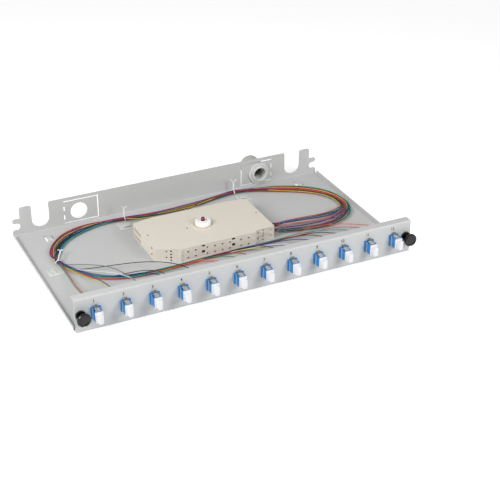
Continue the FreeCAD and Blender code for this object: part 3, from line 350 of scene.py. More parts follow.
def steel(name, colour, roughness):
    """Drawn steel, its lines across the stud"""
    paint = Paint(name, Specular_IOR_Level=0.5)
    lines = paint.noise(900, 2, (1, 1, 12))
    paint.colour(paint.mix(lines, colour, darker(colour, 0.75)))
    paint.metal(0.9)
    paint.rough(lines * 0.2 + roughness)
    return paint.material


def materials():
    """Every finish by name, made once"""
    if not MATERIALS:
        finish = bpy.context.scene.drawer_finish
        MATERIALS.update(
            powder=powder_coat(finish),
            adapter=moulded("adapter_plastic", finish.adapter, 0.3, 0.85),
            cap=moulded("cap_plastic", finish.cap, 0.4, 0.97),
            clip=spring_steel(finish),
            connector=connector_plastic(finish),
            knob=moulded("knob_plastic", finish.knob, 0.1, 0.7, 500, 0.04),
            cream=cream_plastic(finish),
            # Painted shade in the lid's holes and at the nut's foot
            lid=stained("lid_plastic", finish.cream, finish.hollow, box("cassette_lid")[1].z - 0.12),
            nut=stained("nut_plastic", finish.nut, finish.seam, box("cassette_nut")[0].z + 0.52),
            tip=red_tip(finish),
            stud=steel("stud_steel", linear("B4B6B8"), 0.25),
            gland=moulded("gland_plastic", finish.gland, 0.36, 0.94),
            dome=moulded("dome_plastic", darker(finish.gland, 0.8), 0.4, 0.92),
            rubber=moulded("seal_rubber", finish.rubber, 0.6, 0.8, 700, 0.2),
            tie=moulded("tie_plastic", finish.tie, 0.35, 0.95),
            mount=moulded("mount_plastic", finish.mount, 0.4, 0.93),
            ink=moulded("number_ink", finish.ink, 0.5, 0.9),
            comb=moulded("comb_plastic", finish.comb, 0.4, 0.92),
            sleeve=moulded("sleeve_plastic", finish.sleeve, 0.15, 0.9),
        )
        jackets = bpy.context.scene.drawer_jackets
        for name in jackets.__annotations__:
            MATERIALS[name] = jacket("jacket_" + name, getattr(jackets, name))
    return MATERIALS


# Modelling tools. Their places and lengths are in millimetres


def box(node):
    """The low and the high corner of a node"""
    low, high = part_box(node)
    return low / MM, high / MM


def middle(node):
    low, high = box(node)
    return (low + high) / 2


def port_x(port):
    return middle("adapter_%02d" % port).x


def fresh():
    """Object mode with nothing selected"""
    if bpy.context.object and bpy.context.object.mode != "OBJECT":
        bpy.ops.object.mode_set(mode="OBJECT")
    bpy.ops.object.select_all(action="DESELECT")


def take(item):
    fresh()
    item.select_set(True)
    bpy.context.view_layer.objects.active = item


def settle(item):
    """Moves an object's place, turn and scale into its mesh"""
    take(item)
    bpy.ops.object.transform_apply(location=True, rotation=True, scale=True)
    return item


def edit(item, test=None, mode="FACE"):
    """Edit mode with the faces that pass the test selected, or all of them"""
    take(item)
    bpy.ops.object.mode_set(mode="EDIT")
    bpy.ops.mesh.select_mode(type=mode)
    bpy.ops.mesh.select_all(action="DESELECT" if test else "SELECT")
    if test:
        bpy.ops.object.mode_set(mode="OBJECT")
        for face in item.data.polygons:
            face.select = test(face)
        bpy.ops.object.mode_set(mode="EDIT")


def done():
    bpy.ops.object.mode_set(mode="OBJECT")


def smooth(degrees=40):
    """Smooth shading on the selected piece, except across sharper edges"""
    bpy.ops.object.shade_smooth_by_angle(angle=math.radians(degrees))


def bevelled(item, width, segments=2):
    take(item)
    bevel = item.modifiers.new("Bevel", "BEVEL")
    bevel.width = width * MM
    bevel.segments = segments
    bevel.limit_method = "ANGLE"
    bevel.angle_limit = math.radians(30)
    bpy.ops.object.modifier_apply(modifier=bevel.name)
    smooth()
    return item


def even(item):
    """Large faces keep their own direction, so that they are shaded flat"""
    take(item)
    smooth()
    weighted = item.modifiers.new("Weighted", "WEIGHTED_NORMAL")
    weighted.keep_sharp = True
    bpy.ops.object.modifier_apply(modifier=weighted.name)
    return item


def block(name, low, high):
    """A cuboid between two corners"""
    fresh()
    low, high = Vector(low) * MM, Vector(high) * MM
    bpy.ops.mesh.primitive_cube_add(size=1, location=(low + high) / 2)
    item = bpy.context.object
    item.name = name
    item.scale = high - low
    return settle(item)


def lathe(name, rings, centre, toward="+Z", sides=48, turn=0):
    """A turned form from rings of (distance along the axis, radius)"""
    fresh()
    rings = [(level * MM, max(radius * MM, TINY)) for level, radius in rings]
    level, radius = rings[0]
    bpy.ops.mesh.primitive_circle_add(vertices=sides, radius=radius, location=(0, 0, level))
    item = bpy.context.object
    item.name = name
    item.rotation_euler.z = math.radians(turn)
    settle(item)
    edit(item, mode="EDGE")
    for next_level, next_radius in rings[1:]:
        bpy.ops.mesh.extrude_region_move(TRANSFORM_OT_translate={"value": (0, 0, next_level - level)})
        share = next_radius / radius
        bpy.ops.transform.resize(value=(share, share, 1), center_override=(0, 0, next_level))
        level, radius = next_level, next_radius
    bpy.ops.mesh.select_all(action="SELECT")
    bpy.ops.mesh.remove_doubles(threshold=2.5 * TINY)
    bpy.ops.mesh.normals_make_consistent(inside=False)
    done()
    item.rotation_euler.x = {"+Z": 0, "-Y": math.pi / 2, "+Y": -math.pi / 2}[toward]
    item.location = Vector(centre) * MM
    return settle(item)


def cut(item, tool, operation="DIFFERENCE"):
    """Takes the tool's shape out of the piece, or keeps only what both share"""
    take(item)
    boolean = item.modifiers.new("Cut", "BOOLEAN")
    boolean.object = tool
    boolean.operation = operation
    boolean.solver = "EXACT"
    boolean.use_self = True
    bpy.ops.object.modifier_apply(modifier=boolean.name)
    bpy.data.objects.remove(tool)
    return item


def joined(parts):
    """One object from several, under the name of the first"""
    take(parts[0])
    for part in parts[1:]:
        part.select_set(True)
    bpy.ops.object.join()
    return bpy.context.object


def linked(name, data):
    item = bpy.data.objects.new(name, data)
    bpy.context.scene.collection.objects.link(item)
    return item


def copied(item, name, shift):
    """A copy with its own mesh, moved by a shift that goes into the mesh"""
    twin = linked(name, item.data.copy())
    twin.location = Vector(shift) * MM
    return settle(twin)


def softened(name, node, width, segments=2):
    """A merged copy of a CAD node with its edges broken"""
    fresh()
    item = linked(name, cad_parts[node].data.copy())
    item.data.materials.clear()
    take(item)
    if item.data.has_custom_normals:
        bpy.ops.mesh.customdata_custom_splitnormals_clear()
    edit(item)
    bpy.ops.mesh.remove_doubles(threshold=TINY)
    bpy.ops.mesh.dissolve_limited(angle_limit=math.radians(0.5))
    done()
    return bevelled(item, width, segments)


def tube(name, spots, radius, steps=6):
    """A round cord on a smooth spline with the given control points, as a mesh"""
    fresh()
    curve = bpy.data.curves.new(name, "CURVE")
    curve.dimensions = "3D"
    curve.resolution_u = steps
    curve.bevel_depth = radius
    curve.bevel_resolution = 2
    curve.use_fill_caps = True
    spline = curve.splines.new("NURBS")
    spline.points.add(len(spots) - 1)
    for point, spot in zip(spline.points, spots):
        point.co = (*(spot * MM), 1)
    spline.order_u = 3
    spline.use_endpoint_u = True
    take(linked(name, curve))
    bpy.ops.object.convert(target="MESH")
    bpy.ops.object.shade_smooth()
    return bpy.context.object


def finished(item, material, body, slot, *nodes):
    """Gives a piece its material and the body it rides on, and hides the nodes it stands for; the slot is not
    used
    """
    item.data.materials.clear()
    item.data.materials.append(materials()[material])
    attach(item, body)
    if nodes:
        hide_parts(*nodes)


def dress(node, material):
    """A CAD node that stays gets its finish"""
    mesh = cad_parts[node].data
    mesh.materials.clear()
    mesh.materials.append(materials()[material])


# Operators, one for each group of pieces


class DRAWER_OT_tray(bpy.types.Operator):
    """Powder-coated tray and the printed port numbers"""

    bl_idname = "drawer.tray"
    bl_label = "Tray and port numbers"

    def execute(self, context):
        sizes = context.scene.drawer_sizes
        dress("tray", "powder")
        for port in range(1, PORTS + 1):
            fresh()
            spot = ((port_x(port) - 1.6) * MM, (PANEL_FACE - 0.02) * MM, sizes.number_level)
            bpy.ops.object.text_add(location=spot, rotation=(math.pi / 2, 0, 0))
            item = context.object
            item.name = "port_number_%02d" % port
            item.data.body = str(port)
            item.data.size = sizes.number_size
            item.data.align_x = "CENTER"
            item.data.align_y = "CENTER"
            item.data.extrude = 0.02 * MM
            item.data.offset = 0.09 * MM
            item.data.resolution_u = 4
            bpy.ops.object.convert(target="MESH")
            finished(settle(item), "ink", "drawer", "powder_coat")
        return {"FINISHED"}


class DRAWER_OT_ports(bpy.types.Operator):
    """Twelve adapters with clips, dust caps and the connectors behind them"""

    bl_idname = "drawer.ports"
    bl_label = "Ports"

    def execute(self, context):
        ports = range(1, PORTS + 1)
        for port in ports:
            node = "adapter_%02d" % port
            item = softened("housing_%02d" % port, node, 0.16)
            cut(item, joined(self.slits(port)))
            finished(even(item), "adapter", "drawer", "blue_plastic", node)
        clips = softened("spring_clips", "adapter_clips", 0.06, 1)
        cut(clips, joined([slit for port in ports for slit in self.slits(port)]))
        ends = [end for port in ports for end in self.strap_ends(port)]
        finished(even(joined([clips, *ends])), "clip", "drawer", "spring_steel", "adapter_clips")
        dress("lc_connectors", "connector")
        first = self.cap()
        for port in ports:
            node = "dust_cap_%02d" % port
            cap = copied(first, "cap_%02d" % port, (port_x(port) - port_x(1), 0, 0))
            finished(cap, "cap", node, "white_cap", node)
        bpy.data.objects.remove(first)
        return {"FINISHED"}

    def slits(self, port):
        """Open slits on both sides of the clip's plate"""
        centre = middle("adapter_%02d" % port)
        top = centre.z + 6.6
        tools = []
        for near, far in ((-4.3, -2.4), (3.5, 4.2)):
            corner = (centre.x + near, PANEL_FACE - 9.4, top - 3.2)
            tools.append(block("slit", corner, (centre.x + far, PANEL_FACE - 2.7, top + 1)))
        return tools

    def strap_ends(self, port):
        """The strap's lower ends beside the housing"""
        centre = middle("adapter_%02d" % port)
        parts = []
        for near, far in ((-4.92, -4.62), (4.62, 4.92)):
            corner = (centre.x + near, PANEL_FACE - 4.9, centre.z - 6.2)
            part = block("strap_end", corner, (centre.x + far, PANEL_FACE - 2.6, centre.z - 1.9))
            parts.append(bevelled(part, 0.08, 1))
        return parts

    def cap(self):
        """Flange, tapered grip with a step, and two plugs"""
        low, high = box("dust_cap_01")
        centre = middle("dust_cap_01")
        plug_length, flange_depth, grip_share = 7, 2, 5.4 / 8.5
        flange_back = high.y - plug_length
        item = block("cap", (low.x, flange_back - flange_depth, low.z), (high.x, flange_back, high.z))
        edit(item, lambda face: face.normal.y < -0.9)
        bpy.ops.mesh.inset(thickness=0.4 * MM)
        bpy.ops.transform.resize(value=(grip_share, 1, 1), center_override=centre * MM)
        for reach, share in ((0.8, 0.94), (3.2, 0.97), (2, 0.97)):
            bpy.ops.mesh.extrude_region_move(TRANSFORM_OT_translate={"value": (0, -reach * MM, 0)})
            bpy.ops.transform.resize(value=(share, 1, share), center_override=centre * MM)
        done()
        parts = [bevelled(item, 0.45, 3)]
        half = 2.33
        for z in (centre.z - SOCKET_RISE, centre.z + SOCKET_RISE):
            corner = (centre.x - half, flange_back - 0.1, z - half)
            parts.append(bevelled(block("plug", corner, (centre.x + half, high.y, z + half)), 0.3))
        return joined(parts)


class DRAWER_OT_fasteners(bpy.types.Operator):
    """Two push fasteners: split grommets and glossy plungers pulled out"""

    bl_idname = "drawer.fasteners"
    bl_label = "Push fasteners"

    def execute(self, context):
        grommets = softened("push_grommets", "fastener_grommets", 0.35, 3)
        finished(grommets, "knob", "drawer", "black_plastic", "fastener_grommets")
        for side in ("left", "right"):
            self.plunger(side)
        return {"FINISHED"}

    def plunger(self, side):
        """Knob with a sunk ring on its face and a notch underneath, and its pin"""
        node = side + "_plunger"
        low, high = box(node)
        centre = middle(node)
        centre.y = low.y
        radius = (high.z - low.z) / 2
        depth = high.y - low.y
        pin, head = 2.85, 4.25
        rings = [
            (0.5, 0), (0.55, radius * 0.3), (0.9, radius * 0.58), (0.15, radius * 0.68),
            (0, radius * 0.8), (0.3, radius * 0.92), (1.2, radius), (head - 0.7, radius),
            (head - 0.2, radius - 0.6), (head, radius - 1.6), (head, pin), (depth - 1, pin),
            (depth, pin - 0.8), (depth, 0),
        ]
        item = lathe(side + "_knob", rings, centre, "+Y", 64)
        notch = (centre.x - 1.3, low.y - 1, low.z - 1), (centre.x + 1.3, low.y + head + 1, low.z + 1.6)
        cut(item, block("notch", *notch))
        finished(bevelled(item, 0.15), "knob", node, "black_plastic", node)


# Places on the cassettes: across, or across and up
FIBRE_HOLES = (-41.3, 41.3, -31, 31, -15.3, 15.3, -5.1, 5.1)
FIBRE_HOLE_LEVEL = 4.1
RIGHT_HOLES = ((56.5, 5.2), (64, 2.6), (64, 7.4))
SLANT_HOLES = ((-61.5, 2), (-61.5, 6.2), (-67, 6.2))
WINDOWS = (-20.6, 20.6)
LID_HOLES = ((-22.5, 17), (75, 18), (-74.5, 21))


class DRAWER_OT_cassettes(bpy.types.Operator):
    """Two splice cassettes with lid, stud, nut and splice holders"""

    bl_idname = "drawer.cassettes"
    bl_label = "Splice cassettes"

    def execute(self, context):
        for level, body in (("lower", "drawer"), ("upper", "upper_cassette")):
            node = level + "_cassette"
            low, high = box(node)
            shell = softened(level + "_tub", node, 0.22)
            cut(shell, joined(self.entry_slots(low, high) + self.bores(low, high, level)))
            tub = even(joined([shell, *self.trim(low, high)]))
            finished(tub, "cream", body, "cream_plastic", node)
            dress("splice_holder_" + level, "comb")
            dress("splice_protectors_" + level, "sleeve")
        self.lid()
        self.nut()
        self.stud()
        return {"FINISHED"}

    def trim(self, low, high):
        """Rims round the fibre holes, a pillar, ribs at the entry and ledges along the left wall"""
        parts = []
        rim = [(0, 1.2), (0.22, 1.3), (0.22, 1.75), (0, 2.1)]
        for x in FIBRE_HOLES:
            parts.append(lathe("rim", rim, (x, low.y + 0.02, low.z + FIBRE_HOLE_LEVEL), "-Y", 20))
        near, far = low.z + 0.15, high.z - 0.15
        pillar = [(near, 0), (near, 3.3), (far, 3.3), (far, 0)]
        parts.append(bevelled(lathe("pillar", pillar, (-50, low.y + 3.35, 0), "+Z", 32), 0.2))
        for x in (57.5, 61, 66.5):
            rib = block("entry_rib", (x, low.y + 3.4, low.z + 2), (x + 1.5, low.y + 5.4, high.z - 1.8))
            parts.append(bevelled(rib, 0.2))
        for front, rear, rise in ((-6, 31, 7.4), (31.5, 57, 7.4), (-6, 57, 3.6)):
            foot = low.z + rise
            ledge = block("ledge", (low.x - 0.55, front, foot), (low.x + 0.4, rear, foot + 0.9))
            parts.append(bevelled(ledge, 0.25))
        return parts

    def entry_slots(self, low, high):
        """Notches along the top of the right end and a slot beside them"""
        tools = []
        for index in range(8):
            x = 54.5 + 2.6 * index
            tools.append(block("notch", (x, low.y + 1, high.z - 1), (x + 1.1, low.y + 7.5, high.z + 1)))
        tools.append(block("slot", (73.2, low.y + 1, high.z - 3.4), (77.4, low.y + 9, high.z - 2.4)))
        return tools

    def bores(self, low, high, level):
        """Wider fibre holes and windows, which show the dark inside"""
        holes = [(x, -1, FIBRE_HOLE_LEVEL, 2.3) for x in FIBRE_HOLES]
        holes += [(x, 2, z, 3) for x, z in RIGHT_HOLES]
        holes += [(x, -1, z, 9.4) for x, z in SLANT_HOLES]
        tools = []
        for x, y, z, reach in holes:
            rings = [(0, 0), (0, 1.2), (reach, 1.2), (reach, 0)]
            tools.append(lathe("bore", rings, (x, low.y + y, low.z + z), "+Y", 16))
        tools.append(block("left_bore", (low.x - 1, -7.2, low.z + 5), (low.x + 1.2, -3.6, low.z + 8.2)))
        levels = [(high.z - 2.4, high.z + 1)]
        if level == "upper":
            levels.append((low.z - 1, low.z + 1.2))
        for x in WINDOWS:
            for base, top in levels:
                tools.append(block("window", (x - 2.1, low.y - 1, base), (x + 2.1, low.y + 1.3, top)))
        return tools

    def lid(self):
        """Flat lid with a low ring round the nut and three holes"""
        top = box("cassette_lid")[1].z
        nut = middle("cassette_nut")
        lid = softened("flat_lid", "cassette_lid", 0.25)
        rings = [(0, 12.4), (0.35, 12.6), (0.4, 13.6), (0.3, 14.4), (0, 15.2), (-0.2, 15.2), (-0.2, 12.4)]
        rings.append(rings[0])
        collar = lathe("lid_ring", rings, (nut.x, nut.y, top), "+Z", 64)
        smooth(50)
        hole = [(-0.7, 0), (-0.7, 1.15), (1, 1.15), (1, 0)]
        cut(lid, joined([lathe("lid_hole", hole, (x, y, top), "+Z", 16) for x, y in LID_HOLES]))
        finished(even(joined([lid, collar])), "lid", "cassette_lid", "cream_plastic", "cassette_lid")

    def turned(self, name, node, rings, sides, edge):
        """A turned piece that stands on the foot of its node"""
        foot = middle(node)
        foot.z = box(node)[0].z
        return bevelled(lathe(name, rings, foot, "+Z", sides), edge)

    def nut(self):
        """Round nut on a wider foot, open in the middle"""
        low, high = box("cassette_nut")
        wide = (high.x - low.x) / 2
        tall = high.z - low.z
        bore = 3.07
        rings = [
            (0, bore), (0, wide), (0.3, wide), (0.5, wide - 0.4), (0.5, wide - 1.25),
            (tall - 1, wide - 1.35), (tall - 0.3, wide - 1.8), (tall, wide - 2.6), (tall, bore + 2.4),
            (tall - 0.8, bore + 2), (tall - 0.8, bore + 0.9), (tall, bore + 0.6), (tall, bore),
            (0, bore),
        ]
        item = self.turned("white_nut", "cassette_nut", rings, 64, 0.2)
        finished(item, "nut", "cassette_nut", "white_nut", "cassette_nut")

    def stud(self):
        """Steel stud with a red end cap"""
        low, high = box("cassette_stud")
        tall = high.z - low.z
        radius = (high.x - low.x) / 2
        tip = tall - 5.2
        rings = [(0, 0), (0, radius), (tip, radius), (tip, 0)]
        stem = self.turned("stud_stem", "cassette_stud", rings, 40, 0.2)
        finished(stem, "stud", "drawer", "stud_steel", "cassette_stud")
        rings = [
            (tip + 0.02, 0), (tip + 0.02, radius * 0.86), (tall - 1.2, radius * 0.86),
            (tall - 0.4, radius * 0.7), (tall, radius * 0.35), (tall, 0),
        ]
        end = self.turned("stud_cap", "cassette_stud", rings, 40, 0.15)
        finished(end, "tip", "drawer", "stud_steel")


class DRAWER_OT_gland(bpy.types.Operator):
    """Cable gland: threaded body, inner locknut, dome nut and seal"""

    bl_idname = "drawer.gland"
    bl_label = "Cable gland"

    def execute(self, context):
        axis = middle("gland_dome_nut")
        axis.y = TRAY_HIGH.y
        self.barrel(axis)
        self.locknut(axis)
        self.dome(axis)
        seal = softened("rubber_seal", "gland_seal", 0.3, 3)
        finished(seal, "rubber", "drawer", "seal_rubber", "gland_seal")
        return {"FINISHED"}

    def ends(self, node, axis):
        """Where a piece starts and ends along the gland, from the outside of the rear wall"""
        low, high = box(node)
        return low.y - axis.y, high.y - axis.y

    def thread(self, start, end, outer, pitch, depth):
        """Rings that rise and fall like a thread"""
        count = round((end - start) / pitch)
        step = (end - start) / count
        rings = []
        for index in range(count):
            at = start + index * step
            rings += [(at, outer - depth), (at + step * 0.35, outer), (at + step * 0.6, outer)]
        return rings + [(end, outer - depth)]

    def barrel(self, axis):
        """Body with a thread at each end, one in its bore and a fixed hexagon"""
        near, far = self.ends("gland_body", axis)
        bore, outer, hexagon_end = 8.9, 11.2, 5.2
        rings = [(near + 0.5, bore), (near, bore + 0.6), (near, outer - 0.7)]
        rings += [(near + 0.5, outer), (near + 1.9, outer)]
        rings += self.thread(near + 2.1, -1.4, outer, 1.3, 0.5)
        rings += [(0.1, outer), (hexagon_end, outer)]
        rings += self.thread(hexagon_end + 0.2, far - 0.4, 10.75, 1.5, 0.4)
        rings += [(far, 10.2), (far, bore)]
        rings += reversed(self.thread(near + 1, far - 1, bore + 0.5, 1.6, 0.5))
        rings.append(rings[0])
        barrel = lathe("gland_barrel", rings, axis, "+Y", 56)
        smooth(30)
        rings = [(0.05, 10.9), (0.05, 15.6), (hexagon_end, 15.6), (hexagon_end, 10.9), (0.05, 10.9)]
        flats = bevelled(lathe("gland_hexagon", rings, axis, "+Y", 6), 0.6, 3)
        finished(joined([barrel, flats]), "gland", "drawer", "gland_grey", "gland_body")

    def locknut(self, axis):
        """Hexagon nut behind the wall, its corners turned down"""
        near, far = self.ends("gland_locknut", axis)
        near += 1.9
        rings = [(near, 11.5), (near, 16.9), (far, 16.9), (far, 11.5), (near, 11.5)]
        nut = lathe("gland_nut", rings, axis, "+Y", 6, 30)
        rings = [(near - 1, 0), (near - 1, 15.7), (far + 1, 15.7), (far + 1, 0)]
        cut(nut, lathe("tool", rings, axis, "+Y", 72), "INTERSECT")
        finished(bevelled(nut, 0.9, 3), "gland", "drawer", "gland_grey", "gland_locknut")

    def dome(self, axis):
        """Dome nut with ribs round its grip"""
        low, high = box("gland_dome_nut")
        near, far = self.ends("gland_dome_nut", axis)
        wide = (high.x - low.x) / 2
        inner, bore, grip_end, ribs = 10.88, 7.2, far - 8, 24
        rings = [
            (near, inner), (near, wide - 0.5), (near + 0.5, wide), (grip_end, wide),
            (far - 5.5, wide - 0.35), (far - 3, wide - 1.6), (far - 1.2, wide - 3.3), (far, wide - 5),
            (far, bore + 0.6), (far - 0.6, bore), (far - 5, bore), (far - 5, inner), (near, inner),
        ]
        parts = [lathe("dome_cap", rings, axis, "+Y", 72)]
        smooth(35)
        for index in range(ribs):
            rib = block("rib", (-0.45, near + 1, wide - 0.5), (0.45, grip_end, wide - 0.02))
            bevelled(rib, 0.15, 1)
            rib.rotation_euler.y = 2 * math.pi * index / ribs
            rib.location = axis * MM
            parts.append(settle(rib))
        finished(joined(parts), "dome", "gland_dome_nut", "gland_grey", "gland_dome_nut")


# Fibres, in millimetres. Ways into the ring: x, y, half width of the fan, z
RIGHT_UPPER = (
    (96, -13.5, 3.5, 13.4), (124, -11.5, 5, 11), (152, -11, 6, 8.5), (178, -7, 7, 6.5),
    (194, 1, 7.5, 5.5),
)
RIGHT_LOWER = (
    (96, -16.5, 3, 5), (124, -21.5, 4.5, 4.4), (153, -24.5, 5.5, 4.2), (180, -19, 6, 4.2),
    (198, -6, 6.5, 4.2),
)
# The ring's middle line: x, y, half width, looseness from 0 where tied to 1
RING = (
    (207, 13, 6.5, 1), (208, 31, 6, 1), (203.5, 49, 7, 1), (193, 65, 8, 1), (178, 79, 8.5, 1),
    (158, 91, 8.5, 1), (135, 100.5, 7, 0.9), (113, 107.5, 5, 0.6), (97, 110.3, 3.6, 0.3),
    (86, 110.9, 3, 0), (70, 109.3, 3.4, 0.3), (40, 104.5, 4.6, 0.7), (8, 100.5, 5, 0.8),
    (-26, 99.2, 4.8, 0.7), (-56, 100.8, 3.6, 0.3), (-76, 102.5, 3, 0), (-98, 105, 4.5, 0.5),
    (-121, 104, 6.5, 0.9), (-142, 99, 8, 1), (-158, 91, 8.5, 1), (-171, 80, 8, 1), (-181, 67, 7.5, 1),
    (-187, 53, 6.5, 1), (-189.5, 41, 4, 0.5), (-189.3, 30.5, 3, 0),
)
# Where the three ties sit on that line
TIED = (9, 15, 24)
# Along the front: x, y, half width, looseness
FRONT = (
    (-182.5, 14, 3, 0.5), (-171, -6, 4, 0.9), (-157, -22, 5, 1), (-140, -32, 5, 1), (-120, -38, 5, 1),
    (-94, -40, 4, 1), (-62, -39.5, 3.6, 0.9), (-28, -36.4, 3.2, 0.8), (6, -35.6, 3, 0.8),
    (40, -35.8, 2.8, 0.8), (76, -34.4, 2.4, 0.8), (104, -33, 2, 0.8),
)
# The fibres of ports 1 to 6 come out of the upper cassette, the others out of the lower one
UPPER_PORTS = 6
ENTRY_Y = -13
# Slack of two fibres behind the cassettes, between the rear ties: x, y, z
SLACK = ((18, 93, 6), (-4, 80, 7), (-28, 76, 9), (-47, 81, 10), (-64, 87, 8))
SLACK_FIBRES = ((2, "yellow"), (4, "brown"))
# One fibre's own way across the open middle
BLACK_5 = (
    (-181, 9, 6), (-172, -1.5, 6), (-139, -10.5, 8), (-105, -20, 10), (-80.6, -32.5, 11),
    (-65.5, -46.5, 12), (-57, -65.5, 14),
)
# Each fibre, from the outer side of the front run inwards: port, jacket, way to the port
FIBRES = (
    (1, "green", ((-189, -8, 4), (-191.5, -36, 7), (-191, -64, 12))),
    (1, "red", ((-188, -11, 5), (-190, -40, 8), (-189.6, -64, 13))),
    (2, "yellow", ((-178, -4, 4), (-163, -33, 6), (-158, -64, 13))),
    (2, "blue", ((-176, -4, 6), (-161.5, -28, 7), (-156, -64, 13))),
    (5, "turquoise", ((-84, -44, 3), (-66, -48, 5), (-58, -65, 12))),
    (6, "pink", ((-36, -41, 3), (-26, -48, 6), (-19.5, -64, 12))),
    (6, "orange", ((-30, -39, 4), (-22, -46, 6), (-16.2, -64.5, 13))),
    (7, "green", ((-9, -39.5, 4), (-1, -46, 6), (5.8, -63, 12))),
    (7, "red", ((4, -39, 5), (12, -44, 7), (21.6, -64, 13))),
    (8, "yellow", ((27, -38.5, 4), (44, -46, 7), (52.2, -65.5, 13))),
    (8, "blue", ((30.6, -36.5, 6), (47.5, -44, 9), (58.6, -66, 14))),
    (9, "grey", ((38, -41, 3), (60, -47, 6), (74, -62.5, 12))),
    (9, "white", ((42, -39, 4), (66, -45.5, 6), (81, -62.5, 12))),
    (10, "violet", ((65, -38, 4), (92, -45.5, 7), (106.6, -64.5, 13))),
    (10, "brown", ((96, -37, 5), (118, -45.5, 8), (128.6, -65.5, 13))),
    (11, "black", ((111, -36.5, 4), (132.5, -45, 8), (146.4, -65, 13))),
    (11, "turquoise", ((129, -35, 5), (151, -48.5, 9), (165, -66.5, 14))),
    (12, "pink", ((141, -35, 4), (166, -43, 7), (181, -64.5, 13))),
    (12, "orange", ((117.5, -31.5, 7), (144.5, -30, 8), (172, -42.5, 10), (196, -66.5, 14))),
    (4, "violet", ((-122, -37, 5), (-103, -39, 5), (-95, -50, 7), (-92.7, -64, 12))),
    (4, "brown", ((-124, -35, 7), (-102, -37, 7), (-90, -48, 9), (-87.2, -63.5, 13))),
    (3, "white", ((-180, 7, 5), (-160, -14, 8), (-136, -34, 10), (-122, -64, 13))),
    (3, "grey", ((-184, 18, 6), (-159, 1.5, 9), (-139, -18, 11), (-129.5, -41, 12), (-124.6, -65.5, 14))),
    (5, "black", BLACK_5),
)
# Height of the tied bundle's middle, and how many fibres lie on each other elsewhere
BUNCH_LEVEL = 4.35
LAYERS = 3
# How far a loose fibre strays from its lane
WANDER = 0.9
# Turn from one seat of the bundle to the next, in radians, as seeds sit in a sunflower
SEED_ANGLE = 2.4
# Jackets in the tied bundle, from the top down
TOP = "violet red blue brown turquoise black green yellow orange pink grey white".split()
# Order of the jackets from the outer side inwards, for the lower and the upper cassette's fibres
LANES = (
    (
        "black turquoise green grey brown blue pink white yellow violet orange red",
        "grey blue orange pink white violet black turquoise brown red green yellow",
    ),
    (
        "orange red pink grey blue violet white turquoise green brown black yellow",
        "turquoise orange violet blue pink brown green white red grey black yellow",
    ),
    (
        "violet red pink white yellow orange grey black green brown blue turquoise",
        "pink orange violet red yellow grey white green brown black blue turquoise",
    ),
)


